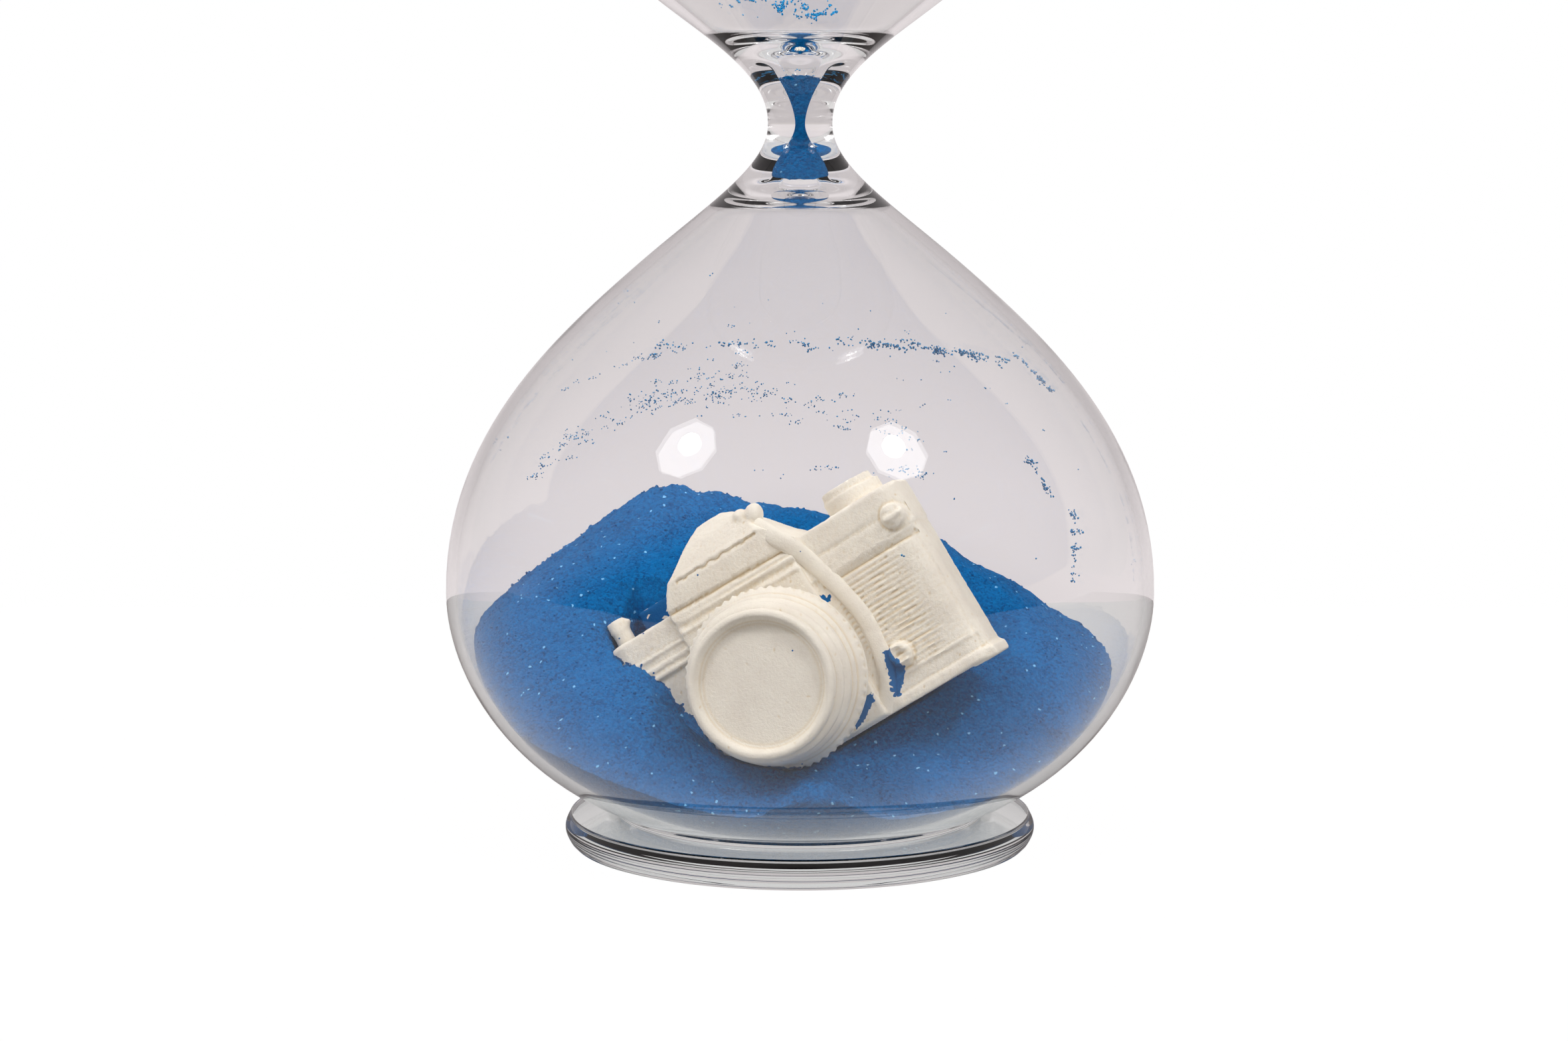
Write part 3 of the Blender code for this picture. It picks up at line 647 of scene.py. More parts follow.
def small_parts(cage):
    drum(cage, 10.6 * MM, ROOT, 0.0052, 0.0420, 0.0)
    drum(cage, 9.7 * MM, 0.004, 0.0083, 0.0415, 0.0, top_radius=9.3 * MM)
    drum(cage, 3.4 * MM, ROOT, 0.0075, -0.0540, 0.0)
    drum(cage, 3.7 * MM, 0.0055, 0.0098, -0.0540, 0.0, top_radius=3.2 * MM)
    block(cage, (-0.0530, -0.0014, TOP + 0.0062), (-0.0492, 0.0014, TOP + 0.0085), 0.7 * MM)
    block(cage, (-0.0480, 0.0085, TOP - 0.003), (-0.0345, 0.0125, TOP + 0.0085), 0.9 * MM)
    drum(cage, 4.1 * MM, ROOT, 0.0012, *FRONT_DIAL, "front")
    drum(cage, 2.6 * MM, ROOT, 0.0020, *FRONT_DIAL, "front", 2.2 * MM)
    block(cage, (0.0498, FRONT - 0.0026, 0.0225), (0.0560, 0.0, 0.0239), 0.5 * MM)
    drum(cage, 4.0 * MM, ROOT, 0.0020, *TERMINAL, "front")
    drum(cage, 3.7 * MM, ROOT, 0.0032, *TERMINAL, "front", 3.3 * MM)


def strap_fold(cage):
    """The strap's folded end, two lumps on the slope of the roof."""
    for x, y, z, wide, tall in ((6.6, -11.0, 50.6, 5.6, 5.4), (11.0, -12.0, 48.6, 6.6, 8.6)):
        made = bmesh.ops.create_icosphere(cage, subdivisions=3, radius=0.5)["verts"]
        bmesh.ops.scale(cage, vec=Vector((wide, 8.0, tall)) * MM, verts=made)
        bmesh.ops.rotate(cage, cent=(0, 0, 0), verts=made,
                         matrix=Matrix.Rotation(math.radians(35), 3, "Y"))
        bmesh.ops.translate(cage, vec=Vector((x, y, z)) * MM, verts=made)


def left_ridges(cage):
    for below, thick, proud in ((9.6, 0.5, 0.5), (13.4, 0.7, 0.6), (16.6, 0.7, 0.6)):
        block(cage, (-0.0585, FRONT - proud * MM, TOP - (below + thick) * MM),
              (-HOUSING_LEFT + 0.001, 0.0, TOP - (below - thick) * MM), 0.3 * MM, 1)


def base_lip(cage):
    """A thin lip left by the mould along the right end of the base."""
    block(cage, (0.0500, -0.0150, -TOP - 0.0007), (0.0597, 0.0120, -TOP + 0.0030), 0.7 * MM)


def back_door(cage):
    """The film door, hinged and framed, on the side nobody sees at first."""
    back = BODY[1] / 2
    block(cage, (-0.050, 0.0, -TOP + 0.006), (0.051, back, TOP - 0.017), 0.9 * MM)
    block(cage, (-0.0095, back - 0.004, TOP + 0.0015), (-0.0005, back + 2.3 * MM, TOP + 0.0085),
          0.6 * MM)


print("small parts ready")


# %% [markdown]
# ### Melting, chipping and roughening
#
# The voxel remesh takes every overlapping block as one solid. At 0.64 mm it keeps the
# small steps and stays light. Then each point moves along its normal by a little noise: the
# slow waves of a hand-made mould, the crumbly grain of the plaster, and some air holes.

# %% One skin of plaster
def melted(name, cage, voxel):
    mesh = mesh_of(name, cage)
    guide = placed(name, mesh)
    remesh = guide.modifiers.new("Melt", "REMESH")
    remesh.mode = "VOXEL"
    remesh.voxel_size = voxel
    bpy.context.view_layer.update()
    shown = guide.evaluated_get(bpy.context.evaluated_depsgraph_get())
    skin = bmesh.new()
    skin.from_mesh(shown.to_mesh())
    shown.to_mesh_clear()
    bpy.data.objects.remove(guide)
    bpy.data.meshes.remove(mesh)
    return skin


def roughened(cage, wave, grain, holes, seed):
    """Moves points along their normals; holes is how deep the air holes are."""
    chance = random.Random(seed)
    shift = Vector([chance.uniform(-9, 9) for _ in range(3)])
    cage.normal_update()
    moves = []
    for point in cage.verts:
        place = point.co / MM + shift
        move = wave * noise.noise(place / 9.0) + 0.6 * grain * noise.noise(place / 2.6)
        move += grain * noise.noise(place / 1.1)
        near = noise.voronoi(place / 4.2)[0][0]
        if near < 0.13:
            move -= holes * (1 - near / 0.13)
        moves.append(point.normal * move)
    for point, move in zip(cage.verts, moves):
        point.co += move
    return cage


blocks = bmesh.new()
camera_body(blocks)
lens_housing(blocks)
prism_hump(blocks)
small_parts(blocks)
strap_fold(blocks)
left_ridges(blocks)
base_lip(blocks)
back_door(blocks)
bmesh.ops.recalc_face_normals(blocks, faces=blocks.faces)
print(len(blocks.faces), "faces in the camera's blocks")
skin = melted("camera_blocks", blocks, 0.64 * MM)
print(len(skin.verts), "points after melting")

# %% [markdown]
# The corner that lies deepest in the sand is broken off, as on many casts. A plane
# cut with `bisect_plane` takes it away and a fill closes it. The grooves, seams and ribs
# of the real camera are pressed in by moving points.

# %% Chip, grooves and eaves
CHIP = 0.018
RIB_PITCH, RIB_RELIEF = 1.9, 0.32
# across from and to, height in the middle, slope, depth and spread, all in millimetres
LINES = ((-31, 17, 29.4, 0.03, -0.55, 0.8), (-31, 17, 27.4, 0.03, 0.45, 0.9),
         (-31, 17, 25.3, 0.03, -0.5, 0.7), (20, 60, 24.7, 0.0, 0.35, 0.9),
         (20, 60, 17.2, 0.0, -0.55, 0.8), (20, 60, 14.6, 0.0, 0.85, 0.6),
         (20, 60, -24.6, 0.0, -0.5, 0.7), (20, 60, -29.9, 0.0, 0.5, 0.6))


def chipped(cage):
    middle = Vector((-BODY[0] / 2 + CHIP, 0, -TOP))
    cut = bmesh.ops.bisect_plane(cage, geom=cage.verts[:] + cage.edges[:] + cage.faces[:],
                                 plane_co=middle, plane_no=Vector((-1, 0, -1)).normalized(),
                                 clear_outer=True)
    rim = [item for item in cut["geom_cut"] if isinstance(item, bmesh.types.BMEdge)]
    bmesh.ops.contextual_create(cage, geom=rim)
    bmesh.ops.triangulate(cage, faces=[face for face in cage.faces if len(face.verts) > 4])


def bell(value, middle, spread):
    return math.exp(-((value - middle) / spread) ** 2)


def pressed(cage):
    """Grooves at the prism's foot and eaves, steps under the covers, and the grip's ribs."""
    for point in cage.verts:
        x, y, z = point.co / MM
        if y > -12:
            continue
        if -31 < x < 17:
            chips = noise.noise(Vector((x / 1.9, 1.0, 0.0)))
            foot = 32.9 - 0.035 * (x + 6) + 0.35 * chips
            point.co.y += (1.1 + 0.7 * max(chips, 0)) * MM * bell(z, foot, 0.75)
            ragged = 42.3 + 0.9 * noise.noise(Vector((x / 2.6, 3.0, 0.0)))
            if -23 < x < 9.5:
                point.co.y += 0.9 * MM * bell(z, ragged, 0.55)
        if 22 < x < 56 and -25 < z < 14:
            worn = noise.noise(Vector((x / 5, z / 3, 7.0)))
            wander = 0.2 * noise.noise(Vector((x / 8, z / 9, 0.0)))
            ridge = math.cos(math.tau * (z / RIB_PITCH + wander))
            fade = min(1.0, max(0.15, (50 - x) / 7)) * min(1.0, (z + 25) / 3, (14 - z) / 2)
            point.co.y -= RIB_RELIEF * MM * ridge * fade * (0.75 + 0.5 * worn)
        if x > 50:
            point.co.y += 0.5 * MM * bell(x, 56.2, 0.7) * (abs(z + 7) < 23)
        for least, most, height, slope, depth, spread in LINES:
            if least < x < most:
                point.co.y += depth * MM * bell(z, height - slope * x, spread)
        for (place_x, place_z), hole in ((FRONT_DIAL, 0.0), (TERMINAL, 1.7)):
            away = math.hypot(x - place_x / MM, z - place_z / MM)
            if away < 6:
                point.co.y += hole * MM * bell(away, 0, 2.0)
                point.co.y += 0.5 * MM * bell(away, 4.9, 0.6)
    return cage


chipped(skin)
pressed(skin)
roughened(skin, 0.16 * MM, 0.14 * MM, 0.5 * MM, 5)
print(len(skin.faces), "faces in the plaster body")

# %% [markdown]
# ### The lens
#
# The lens is turned like the glass: a front ring round a closed cap, fine rings on the
# barrel, and a wide focusing ring with a knurl. The knurl is worn to a row of beads,
# about 3.4 mm apart. It is made by moving the ring's points in and out with the angle.

# %% Lens outline and knurl
def lens_outline():
    """(radius, distance out from the middle of the body) from the cap to the mount."""
    front = BODY[1] / 2 + LENS_LENGTH
    shoulder = BODY[1] / 2 + MOUNT_LENGTH
    back = BODY[1] / 2 + HOUSING_PROUD + 0.15 * MM
    floor = front - RECESS_DEPTH
    marks = [(0, floor), (12, floor), (20.0, floor), (21.0, floor + 0.5 * MM),
             (21.9, front - 1.0 * MM), (22.7, front), (23.8, front), (24.6, front - 0.5 * MM),
             (24.9, front - 3.2 * MM), (24.2, front - 3.6 * MM), (24.2, front - 4.6 * MM),
             (25.6, front - 5.2 * MM), (26.6, front - 6.4 * MM), (26.7, front - 8.4 * MM),
             (26.1, front - 9.0 * MM), (26.9, front - 9.8 * MM), (27.8, front - 11.4 * MM),
             (27.9, front - 14.6 * MM), (27.2, front - 15.4 * MM), (27.3, front - 16.6 * MM),
             (28.8, front - 17.6 * MM), (29.2, front - 20.0 * MM), (30.5, front - 21.2 * MM),
             (31.0, front - 22.4 * MM), (31.0, shoulder + 2.6 * MM), (30.2, shoulder + 0.7 * MM),
             (28.8, shoulder), (27.0, shoulder - 0.3 * MM), (26.6, back + 1.4 * MM),
             (27.0, back), (0, back)]
    return [(radius * MM, distance) for radius, distance in marks]


def finely(outline, step):
    """The outline with no stretch longer than step."""
    points = [Vector(outline[0])]
    for place in outline[1:]:
        goal = Vector(place)
        count = max(1, math.ceil((goal - points[-1]).length / step))
        start = points[-1]
        points += [start.lerp(goal, part / count) for part in range(1, count + 1)]
    return [(point.x, point.y) for point in points]


BEADS, BEAD_LIFT = 58, 0.95 * MM


def lens_cage():
    cage = spun(finely(lens_outline(), 1.0 * MM), False, 240)
    ring = BODY[1] / 2 + LENS_LENGTH - 23.4 * MM
    for point in cage.verts:
        radius = math.hypot(point.co.x, point.co.y)
        if radius > 29 * MM:
            turn = math.atan2(point.co.y, point.co.x)
            bead = BEAD_LIFT * (0.5 + 0.5 * math.cos(BEADS * turn))
            lift = (bead * bell(point.co.z, ring, 1.3 * MM) - 0.4 * MM
                    - 0.8 * MM * bell(point.co.z, ring - 2.3 * MM, 0.7 * MM))
            point.co.x *= 1 + lift / radius
            point.co.y *= 1 + lift / radius
    bmesh.ops.rotate(cage, cent=(0, 0, 0), verts=cage.verts,
                     matrix=Matrix.Rotation(math.radians(90), 3, "X"))
    bmesh.ops.translate(cage, vec=(LENS_X, 0, LENS_Z), verts=cage.verts)
    return roughened(cage, 0.12 * MM, 0.05 * MM, 0.35 * MM, 8)


lens = lens_cage()
print(len(lens.faces), "faces in the lens")

# %% [markdown]
# ### The strap
#
# A narrow strap comes over the prism and hangs down between the lens and the grip. Its
# flat section is swept along a smooth route, thickest in the middle of its width.

# %% Strap
def strap_route():
    proud = FRONT - STRAP_PROUD
    marks = ((8.6, 0.75, 47.0), (12.2, 1.02, 42.1), (15.0, 1.18, 37.3), (18.2, 1.13, 31.5),
             (21.1, 1.02, 23.2), (24.3, 1.0, 12.0), (26.5, 1.0, 0.9), (26.2, 1.0, -8.8),
             (24.7, 1.0, -17.7), (21.6, 1.0, -25.6), (16.0, 1.0, -32.0))
    return [(x * MM, proud * share, z * MM) for x, share, z in marks]


def smooth_route(route, parts):
    """A Catmull-Rom line through the route's points."""
    points = [Vector(place) for place in route]
    points = [2 * points[0] - points[1]] + points + [2 * points[-1] - points[-2]]
    line = []
    for a, b, c, d in zip(points, points[1:], points[2:], points[3:]):
        for part in range(parts):
            t = part / parts
            line.append(0.5 * (2 * b + (c - a) * t + (2 * a - 5 * b + 4 * c - d) * t ** 2
                               + (3 * b - a - 3 * c + d) * t ** 3))
    return line + [points[-2]]


def strap_cage():
    cage = bmesh.new()
    line = smooth_route(strap_route(), 14)
    section = [(0.5, 0.0), (0.46, 0.30), (0.30, 0.5), (0.0, 0.55), (-0.30, 0.5), (-0.46, 0.30),
               (-0.5, 0.0), (-0.46, -0.42), (0.0, -0.48), (0.46, -0.42)]
    rings = []
    for index, place in enumerate(line):
        along = (line[min(index + 1, len(line) - 1)] - line[max(index - 1, 0)]).normalized()
        out = (Vector((0, -1, 0)) + along * along.y).normalized()
        across = along.cross(out)
        rings.append([cage.verts.new(place + across * (side * STRAP_WIDTH * 0.96)
                                     + out * (lift * STRAP_THICKNESS * 0.95))
                      for side, lift in section])
    loops = [[cage.edges.new((ring[index - 1], ring[index])) for index in range(len(ring))]
             for ring in rings]
    for first, second in zip(loops, loops[1:]):
        bmesh.ops.bridge_loops(cage, edges=first + second)
    bmesh.ops.contextual_create(cage, geom=loops[0])
    bmesh.ops.contextual_create(cage, geom=loops[-1])
    bmesh.ops.recalc_face_normals(cage, faces=cage.faces)
    return roughened(cage, 0.10 * MM, 0.08 * MM, 0.0, 3)


strap = strap_cage()
print(len(strap.faces), "faces in the strap")

# %% [markdown]
# ## The heap of sand
#
# Sand that has run through a neck lies in a heap that falls away from a crest. Here
# the crest runs across the back, with one small spike, and the heap falls to the front
# glass, with a mound below the lens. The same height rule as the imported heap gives
# the large shape, and named bumps and hollows give what the falling grains left.

# %% Height of the sand
CREST_LEFT, CREST_RIGHT, CREST_Y = (-0.050, 0.122), (0.045, 0.105), 0.040
HEAP_SLOPE, RIGHT_SPREAD, CREST_ROUNDING = 0.80, 0.85, 0.010
FRONT_LEVEL, LEVEL_BLEND = 0.021, 0.006


def packed_height(x, y):
    along = min(max(x, CREST_LEFT[0]), CREST_RIGHT[0])
    share = (along - CREST_LEFT[0]) / (CREST_RIGHT[0] - CREST_LEFT[0])
    crest = CREST_LEFT[1] + (CREST_RIGHT[1] - CREST_LEFT[1]) * share
    across = (x - along) * (RIGHT_SPREAD if x > along else 1.0)
    away = math.hypot(across, y - CREST_Y)
    rounded = math.hypot(away, CREST_ROUNDING) - CREST_ROUNDING
    gap = (crest - HEAP_SLOPE * rounded - FRONT_LEVEL) / LEVEL_BLEND
    return FRONT_LEVEL + LEVEL_BLEND * math.log1p(math.exp(min(gap, 40.0)))


# x, y, height, spread along x, spread along y, all in millimetres
BUMPS = ((-31, 38, 1.5, 2.6, 4.0), (-27, 38, 2.2, 5.0, 5.0), (-44, 40, 1.2, 5, 6),
         (5, -90, 17, 15, 6.5), (18, -82, 6, 9, 7), (2, -76, 6, 14, 8), (-60, -55, 4, 22, 16),
         (-40, -42, -11, 11, 7), (-61, -18, -13, 7, 8),
         (88, -12, 7, 22, 26), (-100, 2, 8, 18, 24), (96, 32, -5, 16, 22),
         (66, 40, -4, 12, 18), (22, -50, -4, 16, 12), (60, -46, -4, 16, 14),
         (66, 6, -7, 9, 8), (-26, -50, -13, 11, 9), (74, -26, 3, 7, 4),
         (88, -34, -2.5, 6, 3))


def sand_surface(x, y):
    height = packed_height(x, y)
    for bump_x, bump_y, lift, wide, deep in BUMPS:
        away = ((x / MM - bump_x) / wide) ** 2 + ((y / MM - bump_y) / deep) ** 2
        if away < 9:
            height += lift * MM * math.exp(-away)
    spot = Vector((x, y, 0.0)) / MM
    height += 1.5 * MM * noise.noise(spot / 24) + 0.7 * MM * noise.noise(spot / 8)
    height += 1.0 * MM * noise.noise(spot / 4.0) + 0.8 * MM * noise.noise(spot / 1.8)
    return height


print("crest", round(sand_surface(-0.03, CREST_Y) / MM), "mm over the table")

# %% [markdown]
# ### Sand against the glass and round the cast
#
# The heap is a turned drum pushed into shape: its side lies on the bulb's inner wall
# and its top follows the height rule. Where the cast stands in it, the top is lowered
# to just under the cast, so that a dent is left when the cast lifts out. The dent is
# kept a little smaller than the cast, so that the sand closes up to the plaster.

# %% Sand bed
SAND_STEPS, SAND_RINGS, SIDE_RINGS = 420, 88, 22
SAND_FLOOR = FOOT_THICKNESS + CLEARANCE


def wall_radius(height):
    """Radius of the lower bulb's inner wall at a height over the table."""
    distance = NECK_HEIGHT - height
    for first, second in zip(lower_wall, lower_wall[1:]):
        if first.y <= distance <= second.y:
            share = (distance - first.y) / (second.y - first.y)
            return first.x + (second.x - first.x) * share - 0.12 * MM
    return lower_wall[-1].x - 0.12 * MM


def contact(turn):
    """Height at which the sand's surface meets the wall in a direction."""
    low, high = SAND_FLOOR + MM, 0.150
    for _ in range(24):
        middle = (low + high) / 2
        radius = wall_radius(middle)
        if sand_surface(radius * math.cos(turn), radius * math.sin(turn)) > middle:
            low = middle
        else:
            high = middle
    return low


def tree_of(cages):
    """One search tree over the cast's pieces, where they lie."""
    whole = bmesh.new()
    for cage in cages:
        mesh = bpy.data.meshes.new("search")
        cage.to_mesh(mesh)
        whole.from_mesh(mesh)
        bpy.data.meshes.remove(mesh)
    tree = BVHTree.FromBMesh(whole)
    whole.free()
    return tree


for cage in (skin, lens, strap):
    bmesh.ops.transform(cage, matrix=cast_place, verts=cage.verts)
cast_tree = tree_of((skin, lens, strap))
UP = Vector((0, 0, 1))
REACH = 1.6 * MM


def under_cast(x, y):
    """Lowest plaster over a spot, if the cast covers the spot and all round it."""
    lowest = None
    for side_x, side_y in ((0, 0), (REACH, 0), (-REACH, 0), (0, REACH), (0, -REACH)):
        hit = cast_tree.ray_cast(Vector((x + side_x, y + side_y, SAND_FLOOR)), UP)[0]
        if hit is None:
            return None
        lowest = hit.z if lowest is None else min(lowest, hit.z)
    return lowest


def sand_bed_cage():
    outline = [(0.0, 0.0)] + [(share, 0.0) for share in (0.25, 0.5, 0.75, 1.0)]
    outline += [(1.0, step / SIDE_RINGS) for step in range(1, SIDE_RINGS + 1)]
    outline += [(1 - step / SAND_RINGS, 1.0) for step in range(1, SAND_RINGS)] + [(0.0, 1.0)]
    cage = spun(outline, False, SAND_STEPS)
    rims = {}
    for point in cage.verts:
        radius = math.hypot(point.co.x, point.co.y)
        turn = math.atan2(point.co.y, point.co.x)
        key = round(turn * SAND_STEPS / math.tau)
        if key not in rims:
            rims[key] = contact(turn)
        share, rim = point.co.z, rims[key]
        if share < 1e-6:
            reach, height = radius * wall_radius(SAND_FLOOR), SAND_FLOOR
        elif radius > 1 - 1e-4:
            height = SAND_FLOOR + (rim - SAND_FLOOR) * share
            reach = wall_radius(height)
        else:
            reach = radius * wall_radius(rim)
            height = sand_surface(reach * math.cos(turn), reach * math.sin(turn))
            lowest = under_cast(reach * math.cos(turn), reach * math.sin(turn))
            if lowest is not None and lowest - 0.4 * MM < height:
                height = max(lowest - 0.4 * MM, SAND_FLOOR + 0.4 * MM)
        point.co = (reach * math.cos(turn), reach * math.sin(turn), height)
    bmesh.ops.recalc_face_normals(cage, faces=cage.faces)
    return cage


keep("sand_heap", sand_bed_cage(), blue_sand, GLASS_BODY, ["sand_bed"],
     crease=80)

# %% [markdown]
# ## Dust and painted hollow shade on the cast
#
# How dusty each point of the plaster is depends on how far it stands out of the sand,
# and on the gaps beside the strap, which are full of sand. The cast's hollows get a
# painted shade, darker and warmer in colour: a point is hollow when its neighbours lie
# in front of it.

# %% Dust and painted hollow shade
# outlines on the cast's front face, in millimetres, of the hollows packed with sand
GAPS = (((27.6, -14.1), (29.6, -15.3), (30.4, -22.3), (23.8, -30.4), (21.7, -29.2),
         (24.6, -20.0)),
        ((16.1, -23.7), (15.9, -26.9), (9.6, -30.8), (4.5, -32.7), (10.7, -27.1)),
        ((17.3, 13.4), (20.4, 11.1), (19.2, 9.0), (17.4, 10.7)))


def inside(x, z, outline):
    within = False
    for (x1, z1), (x2, z2) in zip(outline, outline[1:] + outline[:1]):
        if (z1 > z) != (z2 > z) and x < x1 + (x2 - x1) * (z - z1) / (z2 - z1):
            within = not within
    return within


def dust_at(place, local):
    over = (place.z - sand_surface(place.x, place.y)) / MM
    x, y, z = local / MM
    over = max(over, 0.0)
    dust = 0.0015 + 0.9 * math.exp(-over / 0.7) + 0.05 * math.exp(-over / 4)
    if -21.5 < y < -14:
        ragged = Vector((noise.noise(place / 0.0013), 0, noise.noise(place / 0.0017))) * 0.6
        if any(inside(x + ragged.x, z + ragged.z, outline) for outline in GAPS):
            dust = 1.0
    return min(dust, 1.0)


def marked(made):
    """Adds the dust attribute and the painted hollow shade attribute to a piece of the cast."""
    mesh = made.data
    cage = bmesh.new()
    cage.from_mesh(mesh)
    dust, painted_hollow_shade = [], []
    for point in cage.verts:
        dust.append(dust_at(point.co, to_cast @ point.co))
        # painted shade: a point lying behind its neighbours is painted darker and yellower
        middle = sum((edge.other_vert(point).co for edge in point.link_edges), Vector())
        middle /= max(len(point.link_edges), 1)
        depth = (middle - point.co).dot(point.normal) / (0.22 * MM)
        painted_hollow_shade.append(min(max(depth, 0.0), 1.0))
    for name, values in (("dust", dust), ("painted_hollow_shade", painted_hollow_shade)):
        mesh.attributes.new(name, "FLOAT", "POINT").data.foreach_set("value", values)
    cage.free()
    return made


for name, cage, node in (("plaster_camera", skin, "cast_body"),
                         ("plaster_lens", lens, "cast_lens"),
                         ("plaster_strap", strap, "cast_strap")):
    marked(keep(name, cage, cast_plaster, CAST_BODY, [node], crease=60))

# %% [markdown]
# ## Sand jammed in the throat
#
# The bore is packed with sand from a little above the joint to a little below it. Its
# two ends are ragged, with single grains standing out. The grains touch the glass, so
# the sand overlaps the bore by a hair: with no film of air between, the thick round neck
# makes it look about half as wide again as it is.

# %% Throat sand
THROAT_TOP, THROAT_BOTTOM, THROAT_STEPS = 19.5 * MM, -23.4 * MM, 44
OVERLAP = 0.05 * MM


def throat_cage():
    top, bottom = THROAT_TOP, THROAT_BOTTOM
    outline = [(0.0, top), (bore_radius(top, 1) * 0.5, top)]
    outline += [(bore_radius(abs(height), height) + OVERLAP, height) for height in
                (top + (bottom - top) * step / THROAT_STEPS
                 for step in range(THROAT_STEPS + 1))]
    outline += [(bore_radius(-bottom, -1) * 0.5, bottom), (0.0, bottom)]
    cage = spun(finely([(radius, height + NECK_HEIGHT) for radius, height in outline],
                       0.7 * MM), False, 72)
    for point in cage.verts:
        spot = point.co / MM
        rise = point.co.z - NECK_HEIGHT
        if rise > top - 0.5 * MM or rise < bottom + 0.4 * MM:
            point.co.z += 0.9 * MM * noise.noise(spot / 1.3) * (1 if rise > 0 else 0.7)
    return cage


keep("sand_in_throat", throat_cage(), blue_sand, GLASS_BODY, ["throat_sand"],
     crease=80)

# %% [markdown]
# ## Grains
#
# Loose grains cling to the inside of the glass where sand was thrown, and single
# grains stand out on the heap and above the throat. Each is a 20-sided chunk, because
# there are thousands. A band of them is given by where it starts and ends round the
# bulb, in degrees from the front, how far it is from the neck, and how it scatters.

# %% Grain helper
def poured(places, chance):
    """One mesh of small chunks at (place, size) pairs, made a few dozen at a time."""
    whole = bmesh.new()
    for start in range(0, len(places), 40):
        few = bmesh.new()
        for place, size in places[start:start + 40]:
            made = bmesh.ops.create_icosphere(few, subdivisions=1, radius=size / 2)["verts"]
            squeeze = Vector([chance.uniform(0.7, 1.25) for _ in range(3)])
            turn = Euler([chance.uniform(0, math.tau) for _ in range(3)])
            bmesh.ops.transform(few, verts=made,
                                matrix=Matrix.LocRotScale(place, turn, squeeze))
        mesh = mesh_of("few", few)
        whole.from_mesh(mesh)
        bpy.data.meshes.remove(mesh)
    return whole


def wall_spot(wall, side, turn, distance, inset):
    """A spot on a bulb's inner wall: turn from the front, distance from the neck."""
    for first, second in zip(wall, wall[1:]):
        if first.y <= distance <= second.y:
            share = (distance - first.y) / (second.y - first.y)
            along = (second - first).normalized()
            radius = first.x + (second.x - first.x) * share
            spot = Vector((radius, distance)) + Vector((-along.y, along.x)) * inset
            return Vector((spot.x * math.sin(turn), -spot.x * math.cos(turn),
                           NECK_HEIGHT + side * spot.y))
    return None


def band(places, wall, side, chance, count, turns, distances, scatter, sizes, clump):
    """Grains along a line on the wall, in clumps, between two turns and distances."""
    left = count
    while left > 0:
        share = chance.random()
        turn = turns[0] + (turns[1] - turns[0]) * share
        distance = distances[0] + (distances[1] - distances[0]) * share
        group = min(left, 1 + int(chance.expovariate(1 / clump)))
        middle = distance + chance.gauss(0, scatter)
        for _ in range(group):
            spread = 0.3 + 0.3 * group ** 0.5
            spot = wall_spot(wall, side, math.radians(turn + chance.gauss(0, spread * 0.7)),
                             (middle + chance.gauss(0, spread * 0.5)) * MM, 0.15 * MM)
            if spot:
                places.append((spot, chance.uniform(*sizes) * MM))
        left -= group


print("grain helper ready")

# %% Grains on the glass
upper_wall = wall_outline(outer_outline(*UPPER_BULB))
chance = random.Random(29)
clinging = []
FINE, COARSE = (0.4, 0.75), (0.5, 1.0)
# grains, turn from and to, distance from the neck from and to, scatter, sizes, clump
for count, turns, distances, scatter, sizes, clump in (
        (70, (-116, -150), (95, 83), 0.8, FINE, 2),
        (110, (-140, -200), (83, 82), 1.1, COARSE, 3),
        (260, (-196, -228), (83, 84), 0.8, COARSE, 5),
        (40, (-228, -240), (84, 87), 1.2, COARSE, 4),
        (330, (-140, -172), (103, 99), 4.5, FINE, 3),
        (170, (-120, -145), (127, 104), 3.0, FINE, 3),
        (190, (-165, -205), (103, 118), 4.5, FINE, 3),
        (60, (-160, -230), (75, 90), 7.0, FINE, 1),
        (70, (-168, -206), (134, 134), 1.2, FINE, 4),
        (90, (-246, -252), (80, 95), 1.0, COARSE, 5),
        (70, (-230, -234), (124, 140), 1.2, COARSE, 4),
        (90, (-240, -239), (140, 172), 1.6, COARSE, 4),
        (50, (0, -360), (60, 150), 25.0, FINE, 1)):
    band(clinging, lower_wall, -1, chance, count, turns, distances, scatter, sizes, clump)
for count, turns, distances, scatter, sizes, clump in (
        (170, (-150, -184), (47, 42), 1.6, COARSE, 6),
        (90, (-176, -200), (40, 41), 0.8, COARSE, 6),
        (50, (-130, -230), (45, 60), 8.0, FINE, 1)):
    band(clinging, upper_wall, 1, chance, count, turns, distances, scatter, sizes, clump)
for _ in range(26):
    rise = 19.7 + chance.expovariate(0.5)
    if rise < 23.4:
        reach = bore_radius(rise * MM, 1) * 0.97
        turn = chance.uniform(0, math.tau)
        spot = Vector((reach * math.cos(turn), reach * math.sin(turn), NECK_HEIGHT + rise * MM))
        clinging.append((spot, chance.uniform(0.4, 0.7) * MM))
# the grains on the glass wear the sand's painted lighter copy
keep("grains_on_glass", poured(clinging, chance), painted_lighter_grains, GLASS_BODY,
     crease=80)

